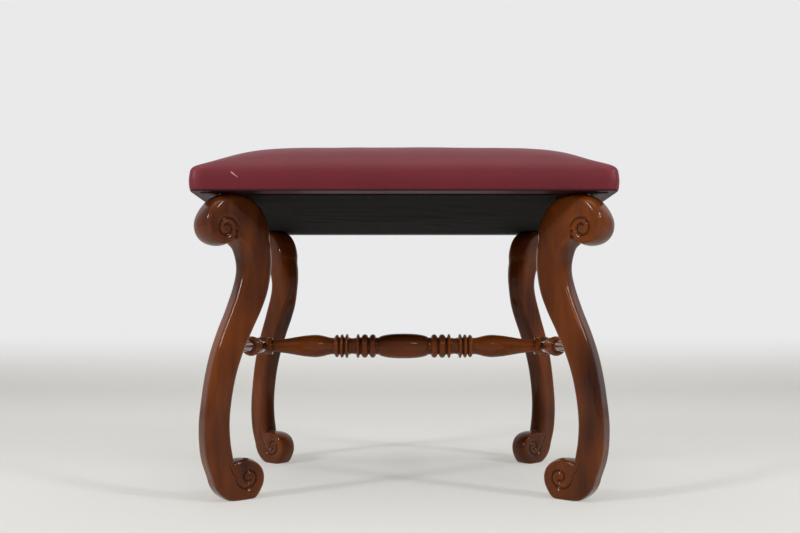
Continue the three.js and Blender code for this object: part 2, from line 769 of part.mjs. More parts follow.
// Middles of a number of equally spaced webs across an opening
function webMiddles(count, halfOpening) {
  const spacing = (halfOpening * 2) / count;
  return Array.from({ length: count }, (unused, i) => (i + 0.5) * spacing - halfOpening);
}
const longWebMiddles = webMiddles(LONG_WEBS, innerHalfY);
const crossWebMiddles = webMiddles(CROSS_WEBS, innerHalfX);

// A web along X through the crossings given, raised at every other one
function webGeometry(crossings, halfLength, firstIsHigh) {
  const reach = WEB_WIDTH / 2 + WEB_CROSSING_MARGIN;
  const stations = [[-halfLength, 0]];
  crossings.forEach((middle, i) => {
    const level = (i % 2 === 0) === firstIsHigh ? WEB_STEP_UP : 0;
    stations.push([middle - reach, level], [middle + reach, level]);
  });
  stations.push([halfLength, 0]);
  const half = WEB_WIDTH / 2;
  const rings = stations.map(([x, level]) => [
    new THREE.Vector3(x, -half, level),
    new THREE.Vector3(x, half, level),
    new THREE.Vector3(x, half, level + WEB_THICKNESS),
    new THREE.Vector3(x, -half, level + WEB_THICKNESS),
  ]);
  return skinGeometry(rings);
}

function longWebMesh(i) {
  const geometry = webGeometry(crossWebMiddles, frameHalfX - WEB_END_INSET, i % 2 === 0);
  const mesh = new THREE.Mesh(geometry, jute);
  mesh.position.set(0, longWebMiddles[i], WEB_LOW);
  return mesh;
}

function crossWebMesh(i) {
  const geometry = webGeometry(longWebMiddles, frameHalfY - WEB_END_INSET, i % 2 === 1);
  const mesh = new THREE.Mesh(geometry.rotateZ(Math.PI / 2), jute);
  mesh.position.set(crossWebMiddles[i], 0, WEB_LOW);
  return mesh;
}

function hessianMesh() {
  const width = (frameHalfX - WEB_END_INSET) * 2;
  const depth = (frameHalfY - WEB_END_INSET) * 2;
  const middle = HESSIAN_BOTTOM + HESSIAN_THICKNESS / 2;
  return new THREE.Mesh(box(width, depth, HESSIAN_THICKNESS, 0, 0, middle), hessianCloth);
}

// Upholstery: rings of one rounded rectangle in plan, by their inset from the seat's full size
function planRing(inset, share, heightAt) {
  const halfX = SEAT_WIDTH / 2 - inset;
  const halfY = SEAT_DEPTH / 2 - inset;
  const corner = Math.max(PLAN_CORNER_RADIUS - inset, CLEARANCE);
  const ring = [];
  const cornerPoints = (signX, signY, from) => {
    for (let i = 0; i <= CORNER_STEPS; i++) {
      const angle = radians(from + (i * QUARTER) / CORNER_STEPS);
      ring.push([
        signX * (halfX - corner) + corner * Math.cos(angle),
        signY * (halfY - corner) + corner * Math.sin(angle),
      ]);
    }
  };
  const edgePoints = (fromX, fromY, toX, toY, count) => {
    for (let i = 1; i < count; i++) {
      ring.push([THREE.MathUtils.lerp(fromX, toX, i / count), THREE.MathUtils.lerp(fromY, toY, i / count)]);
    }
  };
  const straightX = halfX - corner;
  const straightY = halfY - corner;
  cornerPoints(1, 1, 0);
  edgePoints(straightX, halfY, -straightX, halfY, LONG_EDGE_STEPS);
  cornerPoints(-1, 1, QUARTER);
  edgePoints(-halfX, straightY, -halfX, -straightY, SHORT_EDGE_STEPS);
  cornerPoints(-1, -1, QUARTER * 2);
  edgePoints(-straightX, -halfY, straightX, -halfY, LONG_EDGE_STEPS);
  cornerPoints(1, -1, QUARTER * 3);
  edgePoints(halfX, -straightY, halfX, straightY, SHORT_EDGE_STEPS);
  return ring.map(([x, y]) => new THREE.Vector3(x * share, y * share, heightAt(x * share, y * share)));
}

// Height of the crown above the shoulder
function crownHeight(x, y) {
  const acrossX = 1 - Math.min(1, Math.abs(x) / (SEAT_WIDTH / 2)) ** CROWN_POWER_ALONG;
  const acrossY = 1 - Math.min(1, Math.abs(y) / (SEAT_DEPTH / 2)) ** CROWN_POWER_ACROSS;
  return CROWN_RISE * acrossX * acrossY;
}

// Rings up the seat's side and over its crown, moved in from the leather's outside by an offset
function crownRings(offset, lowest) {
  const rings = [];
  for (const [up, inset] of SIDE_STATION_SHARES) {
    const height = LEATHER_BOTTOM + LEATHER_SIDE_HEIGHT * up;
    if (height > lowest) rings.push(planRing(inset * SIDE_BULGE + offset, 1, () => height));
  }
  for (const share of CROWN_RING_SHARES) {
    const outside = planRing(0, share, share > CROWN_FLAT_SHARE ? crownHeight : () => CROWN_RISE);
    const ring = planRing(offset, share, () => LEATHER_SHOULDER - offset);
    ring.forEach((point, i) => (point.z += outside[i].z));
    rings.push(ring);
  }
  return rings;
}

// A solid seat shape with a flat bottom, moved in from the leather's outside by an offset
function crownedGeometry(offset, bottom, bottomInset, lowest) {
  const rings = [planRing(bottomInset + offset, 1, () => bottom), ...crownRings(offset, lowest)];
  const top = LEATHER_SHOULDER + CROWN_RISE - offset;
  return skinGeometry(rings, new THREE.Vector3(0, 0, bottom), new THREE.Vector3(0, 0, top));
}

function leatherMesh() {
  const inside = LEATHER_BOTTOM + LEATHER_THICKNESS;
  const drawnIn = SIDE_BULGE + SIDE_DRAW_IN;
  const whole = solidFrom(crownedGeometry(0, LEATHER_BOTTOM, drawnIn, LEATHER_BOTTOM));
  const hollow = crownedGeometry(LEATHER_THICKNESS, inside, drawnIn, inside);
  const heights = [LEATHER_BOTTOM - OVERRUN, LEATHER_BOTTOM + OVERRUN];
  const opening = skinGeometry(heights.map((height) => planRing(LEATHER_TURN_UNDER, 1, () => height)));
  const holes = corners.flatMap((corner) => legScrewHoles(corner.x, corner.y));
  return new THREE.Mesh(geometryFrom(cutWith(whole, [hollow, opening, ...holes])), leather);
}

function padMesh() {
  const offset = LEATHER_THICKNESS + PAD_MARGIN;
  return new THREE.Mesh(crownedGeometry(offset, PAD_BOTTOM, SIDE_BULGE, PAD_BOTTOM + OVERRUN), hair);
}

// How far the dust cover hangs below the frame: flat over the legs, slack and creased between them
function dustCoverDrop(x, y) {
  const fade = (place, span) => Math.max(0, 1 - (place / span) ** 2) ** 2;
  const slack = fade(x, SAG_HALF_X_SHARE * SEAT_WIDTH) * fade(y, SAG_HALF_Y_SHARE * SEAT_DEPTH);
  const crease = Math.cos((Math.PI * 2 * (y + x * FOLD_SLANT_SHARE)) / DUST_COVER_FOLD_SPACING);
  return slack * (DUST_COVER_SAG + DUST_COVER_FOLD * crease);
}

function dustCoverMesh() {
  const halfX = SEAT_WIDTH / 2 - DUST_COVER_INSET;
  const halfY = SEAT_DEPTH / 2 - DUST_COVER_INSET;
  const grid = new THREE.BoxGeometry(
    halfX * 2,
    halfY * 2,
    DUST_COVER_THICKNESS,
    DUST_COVER_COLUMNS,
    DUST_COVER_ROWS,
  ).translate(0, 0, DUST_COVER_BOTTOM + DUST_COVER_THICKNESS / 2);
  const places = grid.getAttribute("position");
  for (let i = 0; i < places.count; i++) {
    places.setZ(i, places.getZ(i) - dustCoverDrop(places.getX(i), places.getY(i)));
  }
  const holes = corners.flatMap((corner) => legScrewHoles(corner.x, corner.y));
  return new THREE.Mesh(geometryFrom(cutWith(solidFrom(grid), holes)), blackCotton);
}

const model = new THREE.Group();
function place(name, mesh) {
  mesh.name = name;
  model.add(mesh);
}

const plainLeg = flatLeg();
for (const corner of corners) place(`leg_${corner.name}`, legMesh(plainLeg, corner.x, corner.y));
place("long_stretcher", longStretcherMesh());
place("side_stretcher_left", sideStretcherMesh(-1));
place("side_stretcher_right", sideStretcherMesh(1));
place("seat_rail_front", longRailMesh(-1));
place("seat_rail_back", longRailMesh(1));
place("seat_rail_left", sideRailMesh(-1));
place("seat_rail_right", sideRailMesh(1));
for (const corner of corners) {
  place(`corner_block_${corner.name}`, cornerBlockMesh(corner));
  const lines = blockScrewLines(corner.x, corner.y);
  place(`block_screw_${corner.name}_long`, blockScrewMesh(lines[0]));
  place(`block_screw_${corner.name}_side`, blockScrewMesh(lines[1]));
  const screws = legScrewPlaces(corner.x, corner.y);
  place(`leg_screw_${corner.name}_inner`, legScrewMesh(screws[0], corner));
  place(`leg_screw_${corner.name}_outer`, legScrewMesh(screws[1], corner));
}
for (let i = 0; i < LONG_WEBS; i++) place(`web_long_${i + 1}`, longWebMesh(i));
for (let i = 0; i < CROSS_WEBS; i++) place(`web_cross_${i + 1}`, crossWebMesh(i));
place("hessian_sheet", hessianMesh());
place("stuffing_pad", padMesh());
place("leather_cover", leatherMesh());
place("dust_cover", dustCoverMesh());

export default model;
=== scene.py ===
# A scroll-leg stool: polished mahogany legs and turned stretchers under a crowned leather seat.
# Metres, +Z up, +X along the long side, the floor at Z = 0 and the origin under the middle of the seat.
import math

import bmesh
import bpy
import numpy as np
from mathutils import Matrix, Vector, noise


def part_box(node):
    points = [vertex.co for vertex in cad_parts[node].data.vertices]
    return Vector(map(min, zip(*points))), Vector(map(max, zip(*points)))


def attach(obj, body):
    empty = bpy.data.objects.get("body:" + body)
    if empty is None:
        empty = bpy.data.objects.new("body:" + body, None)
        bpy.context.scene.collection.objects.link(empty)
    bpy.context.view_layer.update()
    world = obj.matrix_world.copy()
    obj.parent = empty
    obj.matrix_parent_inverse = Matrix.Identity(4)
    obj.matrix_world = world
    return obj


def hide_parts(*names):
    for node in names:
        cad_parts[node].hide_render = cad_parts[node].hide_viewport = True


bl_info = {
    "name": "Scroll-leg stool",
    "version": (1, 0, 0),
    "blender": (4, 5, 0),
    "location": "3D View > Sidebar > Stool",
    "description": "Dresses a scroll-leg stool: its legs, stretchers, seat, linings and stage",
    "category": "Object",
}

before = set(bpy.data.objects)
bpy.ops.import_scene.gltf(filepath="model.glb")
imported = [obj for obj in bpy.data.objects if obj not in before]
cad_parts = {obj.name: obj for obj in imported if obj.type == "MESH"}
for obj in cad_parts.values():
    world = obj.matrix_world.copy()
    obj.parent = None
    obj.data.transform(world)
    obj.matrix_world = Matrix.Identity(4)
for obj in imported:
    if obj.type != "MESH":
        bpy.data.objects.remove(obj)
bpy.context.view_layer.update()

MM = 0.001
QUARTER = math.pi / 2
CORNERS = {"front_left": (-1, -1), "front_right": (1, -1), "back_left": (-1, 1), "back_right": (1, 1)}


def low_high(node):
    """Lowest and highest corners of a node at rest, as vectors."""
    low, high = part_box(node)
    return Vector(low), Vector(high)


LEATHER_LOW, LEATHER_HIGH = low_high("leather_cover")
DUST_LOW, DUST_HIGH = low_high("dust_cover")
PAD_LOW, PAD_HIGH = low_high("stuffing_pad")
LONG_LOW, LONG_HIGH = low_high("long_stretcher")
LEG_TOP = low_high("leg_front_left")[1].z


# Settings

def length(name, description, default):
    """A setting in metres."""
    return bpy.props.FloatProperty(name=name, description=description, default=default, unit="LENGTH")


def angle(name, description, degrees):
    """A setting shown in degrees."""
    default = math.radians(degrees)
    return bpy.props.FloatProperty(name=name, description=description, default=default, subtype="ANGLE")


def number(name, description, default):
    """A setting without a unit."""
    return bpy.props.FloatProperty(name=name, description=description, default=default)


def triple(name, description, default, subtype="COLOR"):
    """A setting that is a colour or a place."""
    return bpy.props.FloatVectorProperty(
        name=name, description=description, size=3, default=default, subtype=subtype
    )


class StoolLegSettings(bpy.types.PropertyGroup):
    """Sizes of the four legs."""

    base_x: length("Base X", "Base point of a leg along the seat", LEATHER_HIGH.x - 57 * MM)
    base_y: length("Base Y", "Base point of a leg across the seat", LEATHER_HIGH.y - 52 * MM)
    plane_angle: angle("Plane angle", "Turn of a leg's plane from the long side", 39)
    head_twist: angle("Head twist", "Further turn of a leg's head", 9)
    thickness: length("Thickness", "Thickness of a leg through its scrolls", 31 * MM)
    edge_radius: length("Edge radius", "Rounding of a leg's long edges", 7.5 * MM)
    head_widening: number("Head widening", "How much thicker a leg is at its head, as a share", 0.25)
    neck_radius: length("Neck radius", "Rounding of a leg's edges under its head", 11 * MM)
    scroll_edge_radius: length("Scroll edge radius", "Rounding of a scroll's crisp edges", 2.6 * MM)
    scroll_bulge: length("Scroll bulge", "How far a scroll's rim swells between its faces", 3 * MM)
    groove_width: length("Groove width", "Half width of the spiral carved into a scroll", 1.8 * MM)
    voxel: length("Voxel", "Size of the mesh cells that fuse a leg", 1.15 * MM)


class StoolStretcherSettings(bpy.types.PropertyGroup):
    """Sizes of the turned stretchers."""

    long_radius: length("Long radius", "Largest radius of the long stretcher", 19.2 * MM)
    side_radius: length("Side radius", "Largest radius of a side stretcher", 14.6 * MM)
    sides: bpy.props.IntProperty(name="Sides", description="Faces round a turned piece", default=56, min=12)


class StoolSeatSettings(bpy.types.PropertyGroup):
    """Sizes of the upholstery."""

    side_height: length("Side height", "Height of the leather's side under its crown", 33 * MM)
    crown_power_along: number("Crown along", "How flat the crown is along the seat", 7.2)
    crown_power_across: number("Crown across", "How flat the crown is across the seat", 3.8)
    corner_radius: length("Corner radius", "Rounding of the seat's corners in plan", 14 * MM)
    draw_in: length("Draw in", "How far the leather's lower edge is drawn in", 3.4 * MM)
    turn_under: length("Turn under", "Width of the leather turned under the frame", 40 * MM)
    thickness: length("Leather thickness", "Thickness of the leather", 1.3 * MM)
    pleat_depth: length("Pleat depth", "Depth of the folded pleat at each corner", 1.1 * MM)
    dust_cover_sag: length("Dust cover sag", "Slack of the dust cover at its middle", 5 * MM)
    dust_cover_fold: length("Dust cover fold", "Depth of the dust cover's folds", 1.1 * MM)
    dust_cover_thickness: length("Dust cover thickness", "Thickness of the dust cover", 0.9 * MM)
    tack_spacing: length("Tack spacing", "Distance between the dust cover's tacks", 34 * MM)


class StoolFinishSettings(bpy.types.PropertyGroup):
    """Colours of the finishes."""

    wood_light: triple("Wood, light", "Light streaks of the polished wood", (0.185, 0.042, 0.005))
    wood_dark: triple("Wood, dark", "Dark streaks of the polished wood", (0.024, 0.0045, 0.0015))
    leather: triple("Leather", "Colour of the seat's leather", (0.17, 0.02, 0.028))
    dust_cover: triple("Dust cover", "Colour of the cloth under the seat", (0.0095, 0.0078, 0.007))


class StoolStageSettings(bpy.types.PropertyGroup):
    """The floor and the camera."""

    camera_place: triple(
        "Camera", "Where the camera stands", (-5.4 * MM, -1150 * MM, 206 * MM), subtype="TRANSLATION"
    )
    camera_pitch: angle("Camera pitch", "How far the camera looks up", 5.78)
    lens: number("Lens", "Focal length in millimetres", 33.3)
    floor_colour: triple("Floor", "Colour of the floor and the backdrop", (0.78, 0.77, 0.75))


# Numbers and meshes

def smoothstep(value, low, high):
    """Smooth change from 0 at low to 1 at high."""
    share = np.clip((value - low) / (high - low), 0, 1)
    return share * share * (3 - 2 * share)


def fade(value, level, reach):
    """Smooth change from 0 to 1 over a reach about a level."""
    return smoothstep(value, level + reach[0], level + reach[1])


def spline(rows, count):
    """Points along a centripetal Catmull-Rom curve through rows, the same number in each stretch."""
    rows = np.asarray(rows, float)
    padded = np.vstack([2 * rows[0] - rows[1], rows, 2 * rows[-1] - rows[-2]])
    points = []
    for i in range(len(rows) - 1):
        p0, p1, p2, p3 = padded[i:i + 4]
        d0, d1, d2 = (np.linalg.norm(b - a) ** 0.5 for a, b in ((p0, p1), (p1, p2), (p2, p3)))
        leave = d1 * ((p1 - p0) / d0 - (p2 - p0) / (d0 + d1) + (p2 - p1) / d1)
        arrive = d1 * ((p2 - p1) / d1 - (p3 - p1) / (d1 + d2) + (p3 - p2) / d2)
        t = np.arange(count)[:, None] / count
        cubic = (2 * p1 - 2 * p2 + leave + arrive) * t**3
        square = (-3 * p1 + 3 * p2 - 2 * leave - arrive) * t**2
        points.append(cubic + square + leave * t + p1)
    return np.vstack(points + [rows[-1:]])


def skin_faces(rings, sides, cap_start=False, cap_end=False):
    """Quads between rings of points, with a many-sided face over each end that is capped."""
    faces = []
    for i in range(rings - 1):
        for j in range(sides):
            k = (j + 1) % sides
            faces.append((i * sides + j, i * sides + k, (i + 1) * sides + k, (i + 1) * sides + j))
    if cap_start:
        faces.append(tuple(reversed(range(sides))))
    if cap_end:
        faces.append(tuple(range((rings - 1) * sides, rings * sides)))
    return faces


def mesh_from(name, points, faces):
    """A mesh from points and faces."""
    mesh = bpy.data.meshes.new(name)
    mesh.from_pydata([tuple(p) for p in points], [], faces)
    mesh.update()
    return mesh


def add_object(name, mesh, smooth=True):
    """An object at the origin that shows a mesh."""
    obj = bpy.data.objects.new(name, mesh)
    bpy.context.scene.collection.objects.link(obj)
    if smooth:
        mesh.shade_smooth()
    return obj


def hand_over(piece, node):
    """Hides the node that a finished piece replaces and sets the piece on the root body."""
    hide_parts(node)
    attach(piece, "root")


def add_wall(obj, thickness):
    """Gives a sheet its thickness, on its inner side."""
    wall = obj.modifiers.new("wall", "SOLIDIFY")
    wall.thickness = thickness
    wall.offset = -1


def evaluated_mesh(obj, name):
    """A plain mesh of an object with its modifiers applied."""
    depsgraph = bpy.context.evaluated_depsgraph_get()
    depsgraph.update()
    mesh = bpy.data.meshes.new_from_object(obj.evaluated_get(depsgraph), depsgraph=depsgraph)
    mesh.name = name
    return mesh


def places_of(mesh):
    """The vertices of a mesh as an array."""
    places = np.empty(len(mesh.vertices) * 3)
    mesh.vertices.foreach_get("co", places)
    return places.reshape(-1, 3)


def edges_of(mesh):
    """The edges of a mesh as an array of pairs."""
    edges = np.empty(len(mesh.edges) * 2, dtype=np.int64)
    mesh.edges.foreach_get("vertices", edges)
    return edges.reshape(-1, 2)


def neighbour_mean(values, edges):
    """Mean of each vertex's neighbours."""
    count = len(values)
    both = np.concatenate([edges, edges[:, ::-1]])
    total = np.bincount(both[:, 0], minlength=count)
    columns = [np.bincount(both[:, 0], weights=column[both[:, 1]], minlength=count) for column in values.T]
    return np.stack(columns, axis=1) / np.maximum(total, 1)[:, None]


def relax(values, edges, times, weight=0.5):
    """Draws each vertex towards its neighbours' mean, by a weight that may differ from vertex to vertex."""
    for _ in range(times):
        values = values + weight * (neighbour_mean(values, edges) - values)
    return values


def set_places(mesh, places):
    """Moves a mesh's vertices."""
    mesh.vertices.foreach_set("co", np.asarray(places, float).ravel())
    mesh.update()


def mark_hollows(mesh, sharpest, times=4):
    """Stores how hollow the surface is at each vertex: 1 in a groove, 0 on an edge, 0.5 where it is flat."""
    places, edges = places_of(mesh), edges_of(mesh)
    normals = np.empty(len(mesh.vertices) * 3)
    mesh.vertices.foreach_get("normal", normals)
    normals = normals.reshape(-1, 3)
    bend = ((neighbour_mean(places, edges) - places) * normals).sum(axis=1, keepdims=True)
    square = ((places[edges[:, 0]] - places[edges[:, 1]]) ** 2).sum(axis=1)
    count = np.maximum(np.bincount(edges.ravel(), minlength=len(places)), 1)
    spacing = np.bincount(edges.ravel(), weights=np.repeat(square, 2), minlength=len(places)) / count
    bend = relax(bend / np.maximum(spacing, 1e-9)[:, None], edges, times)[:, 0]
    attribute = mesh.attributes.new("hollow", "FLOAT", "POINT")
    attribute.data.foreach_set("value", np.clip(0.5 + 0.5 * bend / sharpest, 0, 1))


# Node trees

class Value:
    """A socket of a node tree, with arithmetic that adds Math nodes."""

    def __init__(self, tree, socket):
        self.tree = tree
        self.socket = socket

    def math(self, operation, *others):
        """A Math node on this value and others."""
        return self.tree.node("ShaderNodeMath", {"operation": operation}, dict(enumerate((self, *others))))

    def __add__(self, other):
        return self.math("ADD", other)

    def __sub__(self, other):
        return self.math("SUBTRACT", other)

    def __rsub__(self, other):
        return self.tree.node("ShaderNodeMath", {"operation": "SUBTRACT"}, {0: other, 1: self})

    def __mul__(self, other):
        return self.math("MULTIPLY", other)

    __radd__ = __add__
    __rmul__ = __mul__

    def between(self, low, high):
        """0 at low and 1 at high, held between the two."""
        inputs = {"Value": self, "From Min": low, "From Max": high}
        return self.tree.node("ShaderNodeMapRange", {"interpolation_type": "SMOOTHSTEP"}, inputs)


class NodeTree:
    """A node tree while its nodes are added."""

    def __init__(self, tree):
        self.tree = tree
        tree.nodes.clear()

    def node(self, kind, settings=None, inputs=None, output=0):
        """Adds a node with its settings and its inputs' values or links, and gives one of its outputs."""
        made = self.tree.nodes.new(kind)
        for key, value in (settings or {}).items():
            if key == "stops":
                self.set_stops(made.color_ramp.elements, value)
            else:
                setattr(made, key, value)
        for key, value in (inputs or {}).items():
            if isinstance(value, Value):
                self.tree.links.new(value.socket, made.inputs[key])
            else:
                made.inputs[key].default_value = value
        return Value(self, made.outputs[output]) if made.outputs else None

    @staticmethod
    def set_stops(elements, stops):
        """Gives a ramp its stops, as pairs of place and colour."""
        while len(elements) < len(stops):
            elements.new(1)
        for element, (place, colour) in zip(elements, stops):
            element.position = place
            element.color = (*colour, 1)


class PieceTree(NodeTree):
    """Geometry Nodes while they are added, with named inputs for the piece's sizes and its material."""

    def __init__(self, name, sizes):
        super().__init__(bpy.data.node_groups.new(name, "GeometryNodeTree"))
        self.tree.is_modifier = True
        for title, kind in {"Geometry": "Geometry", **sizes, "Material": "Material"}.items():
            self.tree.interface.new_socket(title, in_out="INPUT", socket_type=f"NodeSocket{kind}")
        self.tree.interface.new_socket("Geometry", in_out="OUTPUT", socket_type="NodeSocketGeometry")
        group = self.tree.nodes.new("NodeGroupInput")
        self.given = {socket.name: Value(self, socket) for socket in group.outputs if socket.name}

    def end(self, geometry):
        """Ends the tree with real geometry in the given material."""
        real = self.node("GeometryNodeRealizeInstances", inputs={"Geometry": geometry})
        inputs = {"Geometry": real, "Material": self.given["Material"]}
        self.node("NodeGroupOutput", inputs={0: self.node("GeometryNodeSetMaterial", inputs=inputs)})
        return self.tree


class Finish(NodeTree):
    """A material, or a world, while its nodes are added."""

    def __init__(self, name, kind="materials"):
        self.material = getattr(bpy.data, kind).new(name)
        self.material.use_nodes = True
        super().__init__(self.material.node_tree)

    def coordinates(self, scale=(1, 1, 1)):
        """The object's own coordinates, stretched."""
        plain = self.node("ShaderNodeTexCoord", output="Object")
        return self.node("ShaderNodeMapping", inputs={"Vector": plain, "Scale": scale})

    def noise(self, vector, scale, detail=2, roughness=0.5, distortion=0):
        """Noise between 0 and 1."""
        inputs = {"Vector": vector, "Scale": scale, "Detail": detail}
        inputs.update({"Roughness": roughness, "Distortion": distortion})
        return self.node("ShaderNodeTexNoise", inputs=inputs, output="Fac")

    def part(self, vector, axis):
        """One part of a vector."""
        return self.node("ShaderNodeSeparateXYZ", inputs={"Vector": vector}, output=axis)

    def hollow(self):
        """How hollow the surface is, as mark_hollows stored it."""
        return self.node("ShaderNodeAttribute", {"attribute_name": "hollow"}, output="Fac")

    def ramp(self, factor, stops):
        """A colour that changes with a factor."""
        return self.node("ShaderNodeValToRGB", {"stops": stops}, {"Fac": factor})

    def mix(self, factor, first, second):
        """One colour over another."""
        first, second = (value if isinstance(value, Value) else (*value, 1) for value in (first, second))
        inputs = {0: factor, 6: first, 7: second}
        return self.node("ShaderNodeMix", {"data_type": "RGBA"}, inputs, output=2)

    def bump(self, height, strength, distance):
        """A normal from a height."""
        inputs = {"Height": height, "Strength": strength, "Distance": distance}
        return self.node("ShaderNodeBump", inputs=inputs)

    def seen_rays(self):
        """1 for what the camera sees, straight or through a polished or clear surface, and 0 for light."""
        kinds = ("Is Camera Ray", "Is Glossy Ray", "Is Transmission Ray")
        camera, glossy, through = (self.node("ShaderNodeLightPath", output=kind) for kind in kinds)
        return camera.math("MAXIMUM", glossy).math("MAXIMUM", through)

    def surface(self, **inputs):
        """Ends the material with a Principled BSDF."""
        named = {key.replace("_", " "): value for key, value in inputs.items()}
        shader = self.node("ShaderNodeBsdfPrincipled", inputs=named)
        self.node("ShaderNodeOutputMaterial", inputs={"Surface": shader})
        return self.material


# Materials

def shade(colour, share, lift=0.0):
    """A colour made darker or paler."""
    return tuple(min(1, c * share + lift) for c in colour)


def along_axis(axis, along, across=1.0):
    """A scale that is along on one axis and across on the others."""
    return tuple(along if i == axis else across for i in range(3))


def polished_wood(name, axis):
    """Polished mahogany with its grain along an axis, darker in its hollows and paler on its edges."""
    colours = bpy.context.scene.stool_finish
    light, dark = tuple(colours.wood_light), tuple(colours.wood_dark)
    finish = Finish(name)
    broad = finish.noise(finish.coordinates(along_axis(axis, 0.16)), 34, detail=3, distortion=0.6)
    streak = finish.noise(finish.coordinates(along_axis(axis, 0.05)), 420, detail=4, roughness=0.62)
    pores = finish.noise(finish.coordinates(along_axis(axis, 0.035)), 1500, detail=1)
    cloud = finish.noise(finish.coordinates(along_axis(axis, 0.5)), 13, detail=2)
    tone = broad * 0.4 + cloud * 0.5 + streak * 0.1
    middle = tuple((a + b) / 2 for a, b in zip(light, dark))
    colour = finish.ramp(tone, [(0.34, dark), (0.48, middle), (0.62, light)])
    pore_mask = pores.between(0.62, 0.75)
    colour = finish.mix(pore_mask * 0.15, colour, shade(dark, 0.35))
    hollow = finish.hollow()
    grime = finish.noise(finish.coordinates(), 160, detail=2)
    dirt = hollow.between(0.6, 1.0) * (0.45 + grime * 0.45)
    worn = (1 - hollow).between(0.62, 0.95) * 0.3
    colour = finish.mix(dirt, colour, shade(dark, 0.3))
    colour = finish.mix(worn, colour, shade(light, 1.35))
    roughness = 0.34 + streak * 0.08 + pore_mask * 0.1 + dirt * 0.2
    height = streak * 0.5 - pore_mask
    return finish.surface(
        Base_Color=colour, Roughness=roughness, Normal=finish.bump(height, 0.1, 0.1 * MM),
        Coat_Weight=0.9, Coat_Roughness=0.05, Coat_IOR=1.28, Specular_IOR_Level=0.04,
    )


def plain_wood(name, axis):
    """Unpolished frame timber with its grain along an axis."""
    finish = Finish(name)
    broad = finish.noise(finish.coordinates(along_axis(axis, 0.1)), 40, detail=3, distortion=0.4)
    fleck = finish.noise(finish.coordinates(along_axis(axis, 0.06)), 500, detail=3)
    colour = finish.ramp(broad * 0.6 + fleck * 0.45, [(0.3, (0.3, 0.17, 0.08)), (0.75, (0.6, 0.42, 0.24))])
    return finish.surface(
        Base_Color=colour, Roughness=0.62 + fleck * 0.2, Normal=finish.bump(fleck, 0.3, 0.2 * MM)
    )


# Heights above the leather's underside over which the painted shade on its turned-under strip fades
UNDERSIDE_SHADE_FADE = (0.2 * MM, 3.5 * MM)
SCUFF_START = Vector((-225.5 * MM, 0, 425.5 * MM))
SCUFF_END = Vector((-216.5 * MM, 0, 418.5 * MM))
SCUFF_WIDTH = 0.8 * MM
SCUFF_WOBBLE = 2 * MM
SCUFF_FADE = 1 * MM
SCUFF_FRONT = (-120 * MM, -100 * MM)


def scuff_mask(finish, plain):
    """1 on the short pale scuff on the front of the leather, and 0 elsewhere."""
    along = SCUFF_END - SCUFF_START
    direction = along.normalized()
    wobble = finish.noise(plain, 400, detail=2)
    offset = finish.node("ShaderNodeVectorMath", {"operation": "SUBTRACT"}, {0: plain, 1: tuple(SCUFF_START)})
    flat = finish.node("ShaderNodeVectorMath", {"operation": "MULTIPLY"}, {0: offset, 1: (1, 0, 1)})
    settings = {"operation": "DOT_PRODUCT"}
    down = finish.node("ShaderNodeVectorMath", settings, {0: flat, 1: tuple(direction)}, output="Value")
    sideways = (direction.z, 0, -direction.x)
    aside = finish.node("ShaderNodeVectorMath", settings, {0: flat, 1: sideways}, output="Value")
    bent = (aside + (wobble - 0.5) * SCUFF_WOBBLE).math("ABSOLUTE")
    inside = 1 - bent.between(SCUFF_WIDTH * 0.3, SCUFF_WIDTH)
    start, end = (down.between(at - SCUFF_FADE, at + SCUFF_FADE) for at in (0, along.length))
    front = 1 - finish.part(plain, "Y").between(*SCUFF_FRONT)
    return inside * start * (1 - end) * front


def smooth_leather(name):
    """Burgundy leather: fine closed grain, faint tone clouds, rubbed edges, and painted shade on its
    turned-under strip.
    """
    base = tuple(bpy.context.scene.stool_finish.leather)
    finish = Finish(name)
    plain = finish.coordinates()
    inputs = {"Vector": plain, "Scale": 260, "Detail": 2}
    shift = finish.node("ShaderNodeTexNoise", inputs=inputs, output="Color")
    nudge = finish.node("ShaderNodeVectorMath", {"operation": "SCALE"}, {0: shift, "Scale": 2.2 * MM})
    warped = finish.node("ShaderNodeVectorMath", {"operation": "ADD"}, {0: plain, 1: nudge})
    settings = {"feature": "DISTANCE_TO_EDGE"}
    cells = finish.node("ShaderNodeTexVoronoi", settings, {"Vector": warped, "Scale": 820}, output="Distance")
    pebble = cells.between(0.0, 0.22)
    cloud = finish.noise(plain, 11, detail=3)
    fine = finish.noise(plain, 1800, detail=2)
    crease = finish.noise(finish.coordinates((0.6, 1, 1)), 70, detail=4, distortion=1.2)
    colour = finish.mix(cloud.between(0.3, 0.7) * 0.3, base, shade(base, 0.62))
    colour = finish.mix((1 - pebble) * 0.35, colour, shade(base, 0.5))
    rubbed = (1 - finish.hollow()).between(0.6, 0.98) * fine.between(0.35, 0.6) * 0.3
    colour = finish.mix(rubbed, colour, shade(base, 1.9, 0.02))
    # Painted shade: the leather turned under the frame is darkened by height, standing in for the shade under
    # the seat
    low, high = (LEATHER_LOW.z + reach for reach in UNDERSIDE_SHADE_FADE)
    under = 1 - finish.part(plain, "Z").between(low, high)
    colour = finish.mix(under * 0.9, colour, shade(base, 0.12))
    scuff = scuff_mask(finish, plain)
    colour = finish.mix(scuff * 0.8, colour, (0.62, 0.42, 0.42))
    roughness = 0.36 + cloud * 0.1 + (1 - pebble) * 0.12 + scuff * 0.2
    height = pebble * 0.55 + fine * 0.2 + crease * 0.5 - scuff * 0.6
    return finish.surface(
        Base_Color=colour, Roughness=roughness, Normal=finish.bump(height, 0.22, 0.25 * MM),
        Coat_Weight=0.03, Coat_Roughness=0.3, Specular_IOR_Level=0.17,
    )


